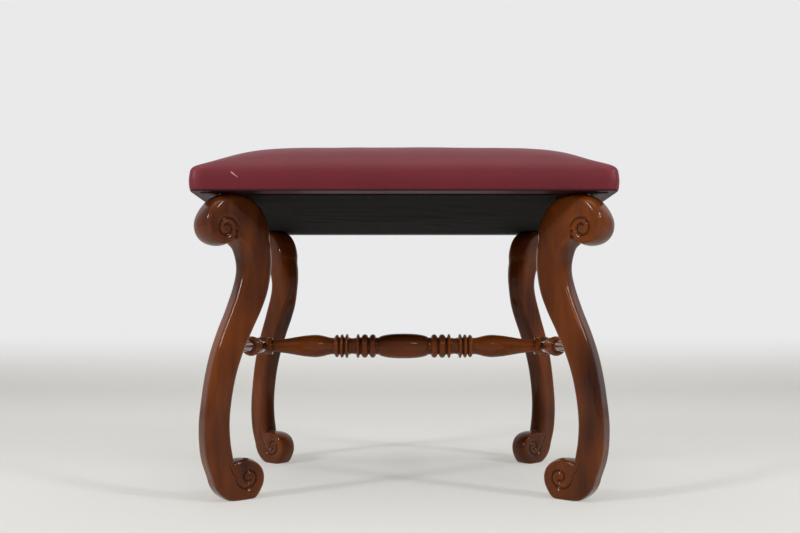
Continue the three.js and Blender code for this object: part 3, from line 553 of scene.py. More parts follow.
def woven_cloth(name, light, dark, threads, slant=0.0, fuzz=0.5, strength=0.5):
    """A plain or twilled weave on the object's coordinates, with a number of threads to the metre."""
    finish = Finish(name)
    plain = finish.node("ShaderNodeTexCoord", output="Object")
    turn = math.pi * threads
    along, across = finish.part(plain, "X") * turn, finish.part(plain, "Y")
    warp = (along + across * (turn * slant)).math("SINE")
    weft = (across * turn).math("SINE")
    over = warp * weft
    slub = finish.noise(finish.coordinates(), 300, detail=3)
    tone = over * 0.25 + 0.5 + (slub - 0.5) * fuzz
    colour = finish.mix(tone.between(0.15, 0.85), dark, light)
    normal = finish.bump(over + slub, strength, 0.3 * MM)
    return finish.surface(
        Base_Color=colour, Roughness=0.82 + slub * 0.15, Normal=normal, Specular_IOR_Level=0.15
    )


def felted(name, light, dark):
    """Curled hair and wadding."""
    finish = Finish(name)
    curls = finish.noise(finish.coordinates(), 260, detail=5, roughness=0.7, distortion=2.5)
    colour = finish.ramp(curls, [(0.35, dark), (0.65, light)])
    normal = finish.bump(curls, 0.8, 1 * MM)
    return finish.surface(Base_Color=colour, Roughness=0.9 + curls * 0.1, Normal=normal)


def dull_steel(name, tint, bloom_tint):
    """Plain steel, with a dull bloom."""
    finish = Finish(name)
    bloom = finish.noise(finish.coordinates(), 220, detail=4)
    colour = finish.mix(bloom.between(0.45, 0.75), tint, bloom_tint)
    metal = 1 - bloom.between(0.5, 0.8) * 0.6
    return finish.surface(Base_Color=colour, Metallic=metal, Roughness=0.3 + bloom * 0.35)


# Legs: an S in its own plane, out from the leg's base point and up from the floor

LEG_SWING = 28.4 * MM
LEG_WIDTH = 45 * MM
EYE_GAP = 0.5 * MM
PLAIN_EDGE = (0.2 * MM, 0)
# The most that a rounding takes of a station's width, and of half its thickness
ROUNDING_SHARES = (0.48, 0.96)
# Scrolls: the band swells by each flare until it fades between two shares of a quarter turn; the carved
# groove has depths in millimetres at angles past the scroll's far side, in degrees
HEAD_SCROLL = {
    "out": 30.5 * MM, "height": LEG_TOP - 45.5 * MM, "start": QUARTER, "core": 3 * MM, "radius": 29 * MM,
    "winding": math.radians(411), "join": 0,
    "flares": ((30 * MM, (-1.1, 0.7)), (2.6 * MM, (2.36, 3)), (5.5 * MM, (0.6, 1.9))),
    "groove": 33 * MM, "groove_winding": math.radians(410),
    "depths": ((212, 0), (250, 0.7), (300, 1.3), (350, 2.3), (430, 2.8), (720, 2.5), (800, 0)),
}
FOOT_SCROLL = {
    "out": -16.5 * MM, "height": 28.5 * MM, "start": -QUARTER, "core": 3 * MM, "radius": 27.5 * MM,
    "winding": math.radians(400), "join": 16 * MM,
    "flares": ((8.8 * MM, (-1.2, -0.2)), (6 * MM, (0, 0.6)), (3 * MM, (1.2, 2.2)), (-3 * MM, (-0.2, 0.6))),
    "groove": 40 * MM, "groove_winding": math.radians(345),
    "depths": ((216, 0), (232, 0.5), (262, 0.8), (300, 1.7), (350, 2.6), (720, 2.5), (790, 0)),
}
JOIN_POWER = 2.6
JOIN_PEAK = math.radians(234)
GROOVE_SETTLES = (math.radians(228), math.radians(264))
GROOVE_START = math.radians(206)
# How far round a scroll its edges sharpen and its rim starts to swell, as shares of a quarter turn
SHARPENS_SHARES = (-0.1, 1)
TWIST_START_SHARE = 0.61
NECK_SHARES = (0.64, 0.76)
HEAD_WIDENS_SHARES = (0.7, 0.88)
# Distances from a scroll's eye over which the shaft's edge beside the scroll becomes round
NOTCH_REACH = (8 * MM, 24 * MM)
SCROLL_STEP = math.radians(5)
SHAFT_POINTS_PER_STATION = 9
CORNER_POINTS = 8
RIM_POINTS = 7
# Carving: the depth of leg it works in, where it is full below a face, and the least that is smoothed after
CARVE_FACE_DEPTH = 3.4 * MM
CARVE_FULL = 0.7 * MM
CARVE_LEAST = 0.05 * MM
WHORLS = 3
# A groove's section is a narrow and a wide hollow, each a share of its depth and a width in groove widths
GROOVE_SECTION = ((0.62, 1), (0.38, 2.4))
GROOVE_REACH = 3
EYE_BUTTON_FADE = (1.56 * MM, 3.38 * MM)
LEG_SHARPEST = 75
# Shaft stations from head to foot: height, middle out from the base point and half width,
# as shares of the leg's height, LEG_SWING and LEG_WIDTH
SHAFT_STATION_SHARES = (
    (0.858, -0.546, 0.611),
    (0.829, -0.739, 0.556),
    (0.771, -0.884, 0.511),
    (0.701, -0.755, 0.506),
    (0.626, -0.408, 0.489),
    (0.551, 0.046, 0.462),
    (0.476, 0.44, 0.429),
    (0.401, 0.715, 0.398),
    (0.325, 0.88, 0.382),
    (0.25, 0.96, 0.386),
    (0.185, 0.903, 0.397),
    (0.13, 0.759, 0.403),
)


def spiral_radius(scroll, turned):
    """Radius of a scroll's spiral at an angle past its far side."""
    return scroll["core"] + (scroll["radius"] - scroll["core"]) * np.exp(-turned / scroll["winding"])


def rim_radius(scroll, turned):
    """Outer radius of a scroll: its spiral, its flares, and the swelling where it meets the shaft."""
    radius = spiral_radius(scroll, turned)
    for flare, (start, end) in scroll["flares"]:
        radius = radius + flare * (1 - smoothstep(turned / QUARTER, start, end))
    rise = np.clip((turned - QUARTER) / (JOIN_PEAK - QUARTER), 0, 1) ** JOIN_POWER
    return radius + scroll["join"] * rise * (1 - smoothstep(turned, JOIN_PEAK, QUARTER * 3))


def groove_radius(scroll, turned):
    """Radius of the carved groove, which starts at the notch beside the shaft."""
    spiral = scroll["groove"] * np.exp(-turned / scroll["groove_winding"])
    return spiral + scroll["join"] * (1 - smoothstep(turned, *GROOVE_SETTLES))


def band_station(scroll, turned):
    """The outer and inner points of a scroll, with the rounding and the bulge of its outer edge."""
    legs = bpy.context.scene.stool_legs
    direction = scroll["start"] - turned
    along = np.array([math.cos(direction), math.sin(direction)])
    middle = np.array([scroll["out"], scroll["height"]])
    crisp = smoothstep(turned / QUARTER, *SHARPENS_SHARES)
    blunt = legs.neck_radius if scroll is HEAD_SCROLL else legs.edge_radius
    edge = (blunt + (legs.scroll_edge_radius - blunt) * crisp, legs.scroll_bulge * crisp)
    return middle + along * rim_radius(scroll, turned), middle + along * EYE_GAP, edge


def station_ring(inward, outward, inward_edge, outward_edge, thickness):
    """The ring of points round a station's rounded section, as out, through and up."""
    across = outward - inward
    width = np.linalg.norm(across)
    across = across / width
    half = thickness / 2
    angles = np.linspace(0, QUARTER, CORNER_POINTS)
    ring = []
    for point, direction, (rounding, bulge) in ((inward, -1, inward_edge), (outward, 1, outward_edge)):
        reach, depth = (min(rounding, size * most) for size, most in zip((width, half), ROUNDING_SHARES))
        corner = half - depth + depth * np.sin(angles)
        rim = np.linspace(depth - half, half - depth, RIM_POINTS)[1:-1]
        through = np.concatenate([-corner[::-1], rim, corner])
        back = np.concatenate([np.cos(angles[::-1]), np.ones(len(rim)), np.cos(angles)])
        back = reach * (1 - back) + bulge * (through / half) ** 2
        for aside, inset in zip(-direction * through, back):
            place = point - direction * across * inset
            ring.append((place[0], aside, place[1]))
    return ring


def leg_stations():
    """All stations of the leg from the head's eye to the foot's: inward, outward and their edges."""
    legs = bpy.context.scene.stool_legs
    turns = np.arange(-QUARTER, QUARTER * 3 + SCROLL_STEP / 2, SCROLL_STEP)
    neck, edge = (legs.neck_radius, 0), (legs.edge_radius, 0)
    head = []
    for turned in turns[::-1]:
        outer, inner, outer_edge = band_station(HEAD_SCROLL, turned)
        head.append((outer, inner, outer_edge, PLAIN_EDGE))
    foot = []
    for turned in turns:
        outer, inner, outer_edge = band_station(FOOT_SCROLL, turned)
        foot.append((inner, outer, PLAIN_EDGE, outer_edge))
    eye = np.array([HEAD_SCROLL["out"], HEAD_SCROLL["height"]])
    head.append((head[-1][0], eye - (rim_radius(HEAD_SCROLL, QUARTER * 3), 0), neck, PLAIN_EDGE))
    eye = np.array([FOOT_SCROLL["out"], FOOT_SCROLL["height"]])
    foot.insert(0, (eye + (rim_radius(FOOT_SCROLL, QUARTER * 3), 0), foot[0][1], PLAIN_EDGE, edge))
    ends = []
    for inward, outward, *_ in (head[-1], foot[0]):
        ends.append((inward[1], (inward[0] + outward[0]) / 2, (outward[0] - inward[0]) / 2))
    rows = [(h * LEG_TOP, o * LEG_SWING, w * LEG_WIDTH) for h, o, w in SHAFT_STATION_SHARES]
    shaft = []
    for height, out, half in spline([ends[0], *rows, ends[1]], SHAFT_POINTS_PER_STATION)[1:-1]:
        blunt = smoothstep(height / LEG_TOP, *NECK_SHARES)
        rounding = legs.edge_radius + (legs.neck_radius - legs.edge_radius) * blunt
        clear_foot = smoothstep(height - FOOT_SCROLL["height"], *NOTCH_REACH)
        clear_head = smoothstep(HEAD_SCROLL["height"] - height, *NOTCH_REACH)
        inward, outward = np.array([out - half, height]), np.array([out + half, height])
        edges = [(PLAIN_EDGE[0] + rounding * clear, 0) for clear in (clear_foot, clear_head)]
        shaft.append((inward, outward, *edges))
    return head + shaft + foot


def round_the_eye(places, scroll):
    """Distance from a scroll's eye and angle past its far side, for points of the leg in its own plane."""
    out, up = places[:, 0] - scroll["out"], places[:, 2] - scroll["height"]
    return np.hypot(out, up), (scroll["start"] - np.arctan2(up, out)) % math.tau


def refine_scrolls(mesh):
    """Divides once the faces that the spirals are carved into."""
    legs = bpy.context.scene.stool_legs
    work = bmesh.new()
    work.from_mesh(mesh)
    places = places_of(mesh)
    fine = np.zeros(len(places), bool)
    for scroll in (HEAD_SCROLL, FOOT_SCROLL):
        radius, turned = round_the_eye(places, scroll)
        turned = np.where(turned < GROOVE_START, turned + math.tau, turned)
        fine |= radius < groove_radius(scroll, turned) + GROOVE_REACH * legs.groove_width
    fine &= np.abs(places[:, 1]) > legs.thickness / 2 - CARVE_FACE_DEPTH
    edges = [edge for edge in work.edges if fine[edge.verts[0].index] and fine[edge.verts[1].index]]
    cuts = 1
    bmesh.ops.subdivide_edges(work, edges=edges, cuts=cuts, use_grid_fill=True, smooth=0)
    work.to_mesh(mesh)
    work.free()
    mesh.update()


def carve_scrolls(mesh):
    """Cuts each scroll's spiral, with a button at its eye, into both faces of the leg."""
    legs = bpy.context.scene.stool_legs
    places = places_of(mesh)
    half = legs.thickness / 2
    depth = np.zeros(len(places))
    for scroll in (HEAD_SCROLL, FOOT_SCROLL):
        radius, turned = round_the_eye(places, scroll)
        angles, depths = np.transpose(scroll["depths"])
        cut = np.zeros(len(places))
        for angle in (turned + whorl * math.tau for whorl in range(WHORLS)):
            aside = (radius - groove_radius(scroll, angle)) / legs.groove_width
            section = sum(share * np.exp(-((aside / wide) ** 2)) for share, wide in GROOVE_SECTION)
            cut = np.maximum(cut, section * np.interp(np.degrees(angle), angles, depths) * MM)
        depth = np.maximum(depth, cut * smoothstep(radius, *EYE_BUTTON_FADE))
    on_face = smoothstep(np.abs(places[:, 1]), half - CARVE_FACE_DEPTH, half - CARVE_FULL)
    places[:, 1] -= np.sign(places[:, 1]) * depth * on_face
    set_places(mesh, relax(places, edges_of(mesh), 2, 0.4 * (depth > CARVE_LEAST)[:, None]))


def plain_leg_mesh():
    """A leg in its own plane: shaft and scrolls fused, carved, and flat at its head and its sole."""
    legs = bpy.context.scene.stool_legs
    rings = [station_ring(*station, legs.thickness) for station in leg_stations()]
    points = np.array([point for ring in rings for point in ring])
    faces = skin_faces(len(rings), len(rings[0]), True, True)
    points[:, 2] = np.clip(points[:, 2], 0, LEG_TOP)
    rough = add_object("leg_rough", mesh_from("leg_rough", points, faces))
    fuse = rough.modifiers.new("fuse", "REMESH")
    fuse.mode = "VOXEL"
    fuse.voxel_size = legs.voxel * 1
    mesh = evaluated_mesh(rough, "plain_leg")
    bpy.data.objects.remove(rough)
    set_places(mesh, relax(places_of(mesh), edges_of(mesh), 3))
    refine_scrolls(mesh)
    carve_scrolls(mesh)
    places = places_of(mesh)
    places[:, 2] = np.clip(places[:, 2], 0, LEG_TOP)
    set_places(mesh, places)
    mark_hollows(mesh, LEG_SHARPEST)
    mesh.shade_smooth()
    return mesh


def leg_places(plain, side_x, side_y):
    """Vertices of a leg moved from its own plane to its corner, its head turned a little further."""
    legs = bpy.context.scene.stool_legs
    out, through, height = plain.T
    through = through * (1 + legs.head_widening * smoothstep(height / LEG_TOP, *HEAD_WIDENS_SHARES))
    twist = legs.head_twist * smoothstep(height, LEG_TOP * TWIST_START_SHARE, LEG_TOP)
    plane = legs.plane_angle
    reach = out + LEG_SWING
    x = -LEG_SWING * math.cos(plane) + reach * np.cos(plane + twist) - through * np.sin(plane + twist)
    y = -LEG_SWING * math.sin(plane) + reach * np.sin(plane + twist) + through * np.cos(plane + twist)
    return np.stack([side_x * (legs.base_x + x), side_y * (legs.base_y + y), height], axis=1)


class STOOL_OT_legs(bpy.types.Operator):
    """Make the four scroll legs"""

    bl_idname = "stool.legs"
    bl_label = "Legs"

    def execute(self, context):
        plain = plain_leg_mesh()
        places = places_of(plain)
        wood = polished_wood("polished_wood_upright", 2)
        for corner, (side_x, side_y) in CORNERS.items():
            mesh = plain.copy()
            mesh.name = f"leg_{corner}_carved"
            set_places(mesh, leg_places(places, side_x, side_y))
            if side_x * side_y < 0:
                mesh.flip_normals()
            leg = add_object(f"leg_{corner}_carved", mesh)
            mesh.materials.append(wood)
            hand_over(leg, f"leg_{corner}")
        bpy.data.meshes.remove(plain)
        return {"FINISHED"}


# Turned stretchers: a smooth body, with beads standing on it, over each half of the length

VALLEY_SHARE = 0.69
BEAD_FOOT_SHARE = 0.6693
TURNED_SHARPEST = 60
# Body: place as a share of the half length, radius as a share of the largest
LONG_BODY_SHARES = (
    (0, 1), (0.05, 0.99), (0.1, 0.945), (0.14, 0.86), (0.166, 0.76), (0.178, VALLEY_SHARE),
    (0.3, VALLEY_SHARE), (0.332, 0.67), (0.355, 0.63), (0.378, 0.67), (0.4, VALLEY_SHARE),
    (0.478, VALLEY_SHARE), (0.492, 0.66), (0.52, 0.71), (0.56, 0.83), (0.61, 0.905), (0.67, 0.86),
    (0.74, 0.74), (0.81, 0.6), (0.884, 0.5), (0.945, 0.48),
)
# Beads: middle and half width as shares of the half length, radius as a share of the largest
LONG_BEAD_SHARES = (
    (0.214, 0.0225, 0.95), (0.269, 0.024, 0.95), (0.316, 0.0125, 0.975), (0.393, 0.0125, 0.975),
    (0.4275, 0.0135, 0.945), (0.463, 0.0155, 0.91), (0.933, 0.02, 0.7),
)
SIDE_BODY_SHARES = (
    (0, 0.9), (0.08, 0.895), (0.12, 0.83), (0.152, 0.71), (0.19, 0.7), (0.3, 0.68), (0.34, 0.6), (0.36, 0.52),
    (0.45, 0.56), (0.53, 0.53), (0.62, 0.46), (0.78, 0.34), (1, 0.315),
)
SIDE_BEAD_SHARES = ((0.205, 0.025, 0.94), (0.265, 0.025, 1), (0.3235, 0.02, 0.89))
LONG_TENON_RADIUS = 5.6 * MM
LONG_TENON_LENGTH = 12 * MM
PROFILE_STEP = 0.7 * MM


def profile_radii(shares, body, beads):
    """Radius shares of a turned profile at places from 0 to 1 along its half length."""
    places, radii = spline(body, 8).T
    result = np.interp(shares, places, radii)
    for middle, half_width, top in beads:
        lift = np.sqrt(np.clip(1 - ((shares - middle) / half_width) ** 2, 0, 1))
        result = np.maximum(result, np.where(lift > 0, BEAD_FOOT_SHARE + (top - BEAD_FOOT_SHARE) * lift, 0))
    return result


def turning_tree():
    """Geometry Nodes that sweep a circle along a line of points, by the radius stored at each point."""
    tree = PieceTree("turning", {"Largest radius": "Float", "Sides": "Int"})
    line = tree.node("GeometryNodeMeshToCurve", inputs={0: tree.given["Geometry"]})
    inputs = {"Name": "turned_radius"}
    radius = tree.node("GeometryNodeInputNamedAttribute", {"data_type": "FLOAT"}, inputs, "Attribute")
    circle = tree.node(
        "GeometryNodeCurvePrimitiveCircle", inputs={"Resolution": tree.given["Sides"], "Radius": 1}
    )
    scale = radius * tree.given["Largest radius"]
    inputs = {"Curve": line, "Profile Curve": circle, "Scale": scale, "Fill Caps": True}
    sweep = tree.node("GeometryNodeCurveToMesh", inputs=inputs)
    return tree.end(tree.node("GeometryNodeSetShadeSmooth", inputs={"Geometry": sweep}))


def apply_tree(obj, tree, values, name):
    """Runs a Geometry Nodes tree on an object with named inputs, and leaves it the plain result."""
    modifier = obj.modifiers.new(tree.name, "NODES")
    modifier.node_group = tree
    for item in tree.interface.items_tree:
        if item.item_type == "SOCKET" and item.in_out == "INPUT" and item.name in values:
            modifier[item.identifier] = values[item.name]
    line, obj.data = obj.data, evaluated_mesh(obj, name)
    obj.modifiers.remove(modifier)
    bpy.data.meshes.remove(line)


def turned_piece(name, middle, axis, profile, largest, wood, tree):
    """A turned piece along an axis through its middle, from the places and radius shares of its profile."""
    places, radii = profile
    points = np.array(middle) + np.outer(places, axis)
    mesh = bpy.data.meshes.new(name)
    mesh.from_pydata(points, [(i, i + 1) for i in range(len(points) - 1)], [])
    attribute = mesh.attributes.new("turned_radius", "FLOAT", "POINT")
    attribute.data.foreach_set("value", radii)
    obj = add_object(name, mesh, smooth=False)
    values = {"Largest radius": largest, "Sides": bpy.context.scene.stool_stretchers.sides, "Material": wood}
    apply_tree(obj, tree, values, name)
    mark_hollows(obj.data, TURNED_SHARPEST, 1)
    return obj


def half_profile(half_length, body, beads):
    """Places and radius shares from end to end, from one half's profile."""
    count = int(half_length / PROFILE_STEP)
    shares = np.linspace(0, 1, count)
    radii = profile_radii(shares, body, beads)
    places = shares * half_length
    return np.concatenate([-places[:0:-1], places]), np.concatenate([radii[:0:-1], radii])


class STOOL_OT_stretchers(bpy.types.Operator):
    """Make the three turned stretchers"""

    bl_idname = "stool.stretchers"
    bl_label = "Stretchers"

    def execute(self, context):
        sizes = context.scene.stool_stretchers
        tree = turning_tree()
        half_length = (LONG_HIGH.x - LONG_LOW.x) / 2
        places, radii = half_profile(half_length, LONG_BODY_SHARES, LONG_BEAD_SHARES)
        tenon = np.abs(places) > half_length - LONG_TENON_LENGTH
        profile = places, np.where(tenon, LONG_TENON_RADIUS / sizes.long_radius, radii)
        wood = polished_wood("polished_wood_long", 0)
        name, middle = "long_stretcher_turned", (LONG_LOW + LONG_HIGH) / 2
        piece = turned_piece(name, middle, (1, 0, 0), profile, sizes.long_radius, wood, tree)
        hand_over(piece, "long_stretcher")
        wood = polished_wood("polished_wood_side", 1)
        for side in ("left", "right"):
            node = f"side_stretcher_{side}"
            low, high = low_high(node)
            profile = half_profile((high.y - low.y) / 2, SIDE_BODY_SHARES, SIDE_BEAD_SHARES)
            middle = (low + high) / 2
            piece = turned_piece(f"{node}_turned", middle, (0, 1, 0), profile, sizes.side_radius, wood, tree)
            hand_over(piece, node)
        return {"FINISHED"}


# The leather seat

CORNER_ARC_POINTS = 12
LONG_EDGE_POINTS = 96
SHORT_EDGE_POINTS = 76
# The leather's side from its lower edge up: inset from the outline, and share of the side's height
SIDE_PROFILE = ((1.7 * MM, 0.055), (0, 0.45), (0.5 * MM, 0.72), (1.1 * MM, 0.9))
CROWN_SHARES = 1 - np.concatenate([np.linspace(0.008, 0.05, 6), np.linspace(0.063, 0.97, 60)])
PLEAT_FROM_CORNER = 4 * MM
PLEAT_WIDTH = 1.5 * MM
FLAP_FADE = (-14 * MM, -1 * MM)
FLAP_RISE = 0.55 * MM
PULL_SHARE = 0.0028
PULL_LEVEL = 103.3333 * MM
UNEVENNESS = 0.6 * MM
# Fades above the leather's underside
BEND_FADE = (0.2 * MM, 1 * MM)
SIDE_FADE = (0.5 * MM, 4 * MM)
PULL_FADE = (0, 2 * MM)
PULL_END_FADE = (4 * MM, 16 * MM)
# Fades about the shoulder
SIDE_END_FADE = (0, 10 * MM)
CROWN_FADE = (-6 * MM, 8 * MM)
LIFT_FADE = (-12 * MM, 6 * MM)
# Fades before the seat's ends
PLEAT_FADE = (-8 * MM, -4 * MM)
CRISP_FADE = (-34 * MM, -6 * MM)
# How far above and below the shoulder it is blended into the side, and what the blending takes off the crown
SHOULDER_REACH = 16 * MM
CROWN_LIFT = 1.6 * MM
LEAST_BLENDING = 0.05
END_CRISPNESS = 0.88
BLENDING_ROUNDS = 170
LEATHER_SHARPEST = 13


def plan_outline(half_x, half_y, radius):
    """Points round a rounded rectangle, closer together near its corners, with their outward directions."""
    points, normals = [], []
    turns = ((1, 1), (-1, 1), (-1, -1), (1, -1))
    middles = [(x * (half_x - radius), y * (half_y - radius)) for x, y in turns]
    for i, middle in enumerate(middles):
        for angle in (i + np.linspace(0, 1, CORNER_ARC_POINTS + 1)) * QUARTER:
            normal = (math.cos(angle), math.sin(angle))
            points.append((middle[0] + radius * normal[0], middle[1] + radius * normal[1]))
            normals.append(normal)
        start = np.array(points[-1])
        end = np.array(middles[(i + 1) % 4]) + radius * np.array(normal)
        count = LONG_EDGE_POINTS if i % 2 == 0 else SHORT_EDGE_POINTS
        even = np.arange(1, count) / count
        shares = 0.35 * even + 0.65 * (0.5 - 0.5 * np.cos(math.pi * even))
        points.extend(start + np.outer(shares, end - start))
        normals.extend([normal] * len(shares))
    return np.array(points), np.array(normals)


def crown_height(x, y):
    """Height of the crown above the shoulder."""
    seat = bpy.context.scene.stool_seat
    rise = LEATHER_HIGH.z - LEATHER_LOW.z - seat.side_height
    along = 1 - np.clip(np.abs(x) / LEATHER_HIGH.x, 0, 1) ** seat.crown_power_along
    across = 1 - np.clip(np.abs(y) / LEATHER_HIGH.y, 0, 1) ** seat.crown_power_across
    return rise * along * across


def flat_ring(ring, height):
    """Points of a ring in plan at a height, or at a height for each."""
    return np.column_stack([ring, np.broadcast_to(height, len(ring))])


def leather_rings(outline, normals):
    """Rings of the leather's outside, from its cut edge under the frame to near the middle of its crown."""
    seat = bpy.context.scene.stool_seat
    bottom, height = LEATHER_LOW.z, seat.side_height
    rings = []
    for inset in np.linspace(seat.turn_under, seat.draw_in + 2 * MM, 10):
        rings.append(flat_ring(outline - normals * inset, bottom))
    side = [(seat.draw_in, 0), *((inset, share * height) for inset, share in SIDE_PROFILE)]
    for inset, up in spline(side, 6):
        rings.append(flat_ring(outline - normals * inset, bottom + up))
    for share in CROWN_SHARES:
        ring = outline * share
        rings.append(flat_ring(ring, bottom + height + crown_height(*ring.T)))
    return rings


def noise_at(places, scale):
    """Noise at points, with a number of bumps to the metre."""
    return np.array([noise.noise(Vector(place)) for place in places * scale])


def leather_relief(places):
    """Moves points of the leather for its pleats, its pull marks and its slight unevenness."""
    seat = bpy.context.scene.stool_seat
    x, y, z = places.T
    bottom, shoulder = LEATHER_LOW.z, LEATHER_LOW.z + seat.side_height
    side = fade(z, bottom, SIDE_FADE) * (1 - fade(z, shoulder, SIDE_END_FADE))
    from_corner = LEATHER_HIGH.y - seat.corner_radius - np.abs(y)
    on_end = fade(np.abs(x), LEATHER_HIGH.x, PLEAT_FADE)
    groove = np.exp(-(((from_corner - PLEAT_FROM_CORNER) / PLEAT_WIDTH) ** 2))
    flap = fade(from_corner, PLEAT_FROM_CORNER, FLAP_FADE) * (from_corner < PLEAT_FROM_CORNER)
    moved = places.copy()
    moved[:, 0] += np.sign(x) * (FLAP_RISE * flap - seat.pleat_depth * groove) * side * on_end
    crown = fade(z, shoulder, CROWN_FADE)
    moved[:, 2] += UNEVENNESS * (noise_at(places, 14) + 0.4 * noise_at(places, 42)) * crown
    pull = noise_at(flat_ring(places[:, :2], PULL_LEVEL), 30)
    low = fade(z, bottom, PULL_FADE) * (1 - fade(z, bottom, PULL_END_FADE))
    moved[:, :2] *= (1 - PULL_SHARE * np.abs(pull) * low)[:, None]
    return moved


class STOOL_OT_leather(bpy.types.Operator):
    """Make the leather seat cover"""

    bl_idname = "stool.leather"
    bl_label = "Leather cover"

    def execute(self, context):
        seat = context.scene.stool_seat
        outline, normals = plan_outline(LEATHER_HIGH.x, LEATHER_HIGH.y, seat.corner_radius)
        rings = leather_rings(outline, normals)
        sides = len(outline)
        faces = skin_faces(len(rings), sides)
        points = np.vstack([*rings, (0, 0, LEATHER_HIGH.z)])
        top = len(points) - 1
        faces.extend((top - sides + j, top - sides + (j + 1) % sides, top) for j in range(sides))
        mesh = mesh_from("leather_seat", points, faces)
        x, _, z = points.T
        shoulder = LEATHER_LOW.z + seat.side_height
        near = np.exp(-(((z - shoulder) / SHOULDER_REACH) ** 2))
        crisp = fade(np.abs(x), LEATHER_HIGH.x, CRISP_FADE)
        weight = np.maximum(near, LEAST_BLENDING) * fade(z, LEATHER_LOW.z, BEND_FADE) / 2
        weight = weight * (1 - END_CRISPNESS * crisp)
        places = relax(points, edges_of(mesh), BLENDING_ROUNDS, weight[:, None])
        places[:, 2] += CROWN_LIFT * fade(places[:, 2], shoulder, LIFT_FADE)
        set_places(mesh, leather_relief(places))
        mark_hollows(mesh, LEATHER_SHARPEST)
        cover = add_object("leather_seat", mesh)
        add_wall(cover, seat.thickness)
        mesh.materials.append(smooth_leather("burgundy_leather"))
        hand_over(cover, "leather_cover")
        return {"FINISHED"}


# The dust cover and its tacks

DUST_COLUMNS = 150
DUST_ROWS = 108
# The dust cover lies flat beyond these shares of the half seat, near its edge, and over the legs
SLACK_SHARES = (0.72, 0.62)
EDGE_REACH = (10 * MM, 45 * MM)
LEG_REACH = (45 * MM, 80 * MM)
LEG_INSET = (33 * MM, 28 * MM)
# Waves across the dust cover: their length and how far they lean
CREASE = (104 * MM, 0.3)
CREASE_DEPTH = 1.3 * MM
LEVEL_FOLD = (31 * MM, 0.0444)
SLANT_FOLD = (43 * MM, -0.42)
LEVEL_FADE = (-60 * MM, 60 * MM)
SLANT_FADE = (-30 * MM, 60 * MM)
RIPPLE_DEPTH = 0.9 * MM
HEM_INSET = 7 * MM
TACK_RADIUS = 2.5 * MM
TACK_RISE = 0.9 * MM
CORNER_CLEAR = 46 * MM


def wave(x, y, length, lean):
    """A wave over the dust cover whose crests lean from the seat's long side."""
    return np.cos(math.tau * (y + lean * x) / length)


def dust_drop(x, y):
    """How far the dust cover hangs: flat over the rails and legs, slack and creased between them."""
    seat = bpy.context.scene.stool_seat
    slack = 1
    for place, half, share in zip((x, y), LEATHER_HIGH, SLACK_SHARES):
        slack = slack * np.clip(1 - (place / (share * half)) ** 2, 0, 1) ** 2
    # Folds: level ones to the left, and slanting ones from the middle to the back on the right
    level = wave(x, y, *LEVEL_FOLD) * smoothstep(-x, *LEVEL_FADE)
    slant = wave(x, y, *SLANT_FOLD) * smoothstep(x, *SLANT_FADE)
    fold = (level * 0.5 + slant * 0.75 + 0.6) * np.sqrt(slack)
    return slack * (seat.dust_cover_sag + CREASE_DEPTH * wave(x, y, *CREASE)) + seat.dust_cover_fold * fold


class STOOL_OT_dust_cover(bpy.types.Operator):
    """Make the dark cloth under the seat"""

    bl_idname = "stool.dust_cover"
    bl_label = "Dust cover"

    def execute(self, context):
        seat = context.scene.stool_seat
        colour = tuple(context.scene.stool_finish.dust_cover)
        xs = np.linspace(DUST_LOW.x, DUST_HIGH.x, DUST_COLUMNS + 1)
        ys = np.linspace(DUST_LOW.y, DUST_HIGH.y, DUST_ROWS + 1)
        x, y = (grid.ravel() for grid in np.meshgrid(xs, ys))
        plan = np.column_stack([x, y])
        ripple = noise_at(flat_ring(plan, 0), (9, 26, 1)) + 0.5 * noise_at(flat_ring(plan, 4), (26, 50, 1))
        edge = np.minimum(DUST_HIGH.x - np.abs(x), DUST_HIGH.y - np.abs(y))
        leg = np.hypot(*(np.abs(plan) - LEATHER_HIGH[:2] + LEG_INSET).T)
        free = smoothstep(edge, *EDGE_REACH) * smoothstep(leg, *LEG_REACH)
        z = DUST_HIGH.z - dust_drop(x, y) + (ripple - 0.9) * RIPPLE_DEPTH * free
        row = DUST_COLUMNS + 1
        first = (np.arange(DUST_ROWS)[:, None] * row + np.arange(DUST_COLUMNS)).reshape(-1, 1)
        faces = (first + (0, 1, row + 1, row)).tolist()
        mesh = mesh_from("dust_cover_cloth", np.column_stack([x, y, np.minimum(z, DUST_HIGH.z)]), faces)
        cloth = add_object("dust_cover_cloth", mesh)
        add_wall(cloth, seat.dust_cover_thickness)
        mesh.materials.append(
            woven_cloth("black_cotton", colour, shade(colour, 0.4), 1400, fuzz=0.9, strength=0.4)
        )
        hand_over(cloth, "dust_cover")
        return {"FINISHED"}


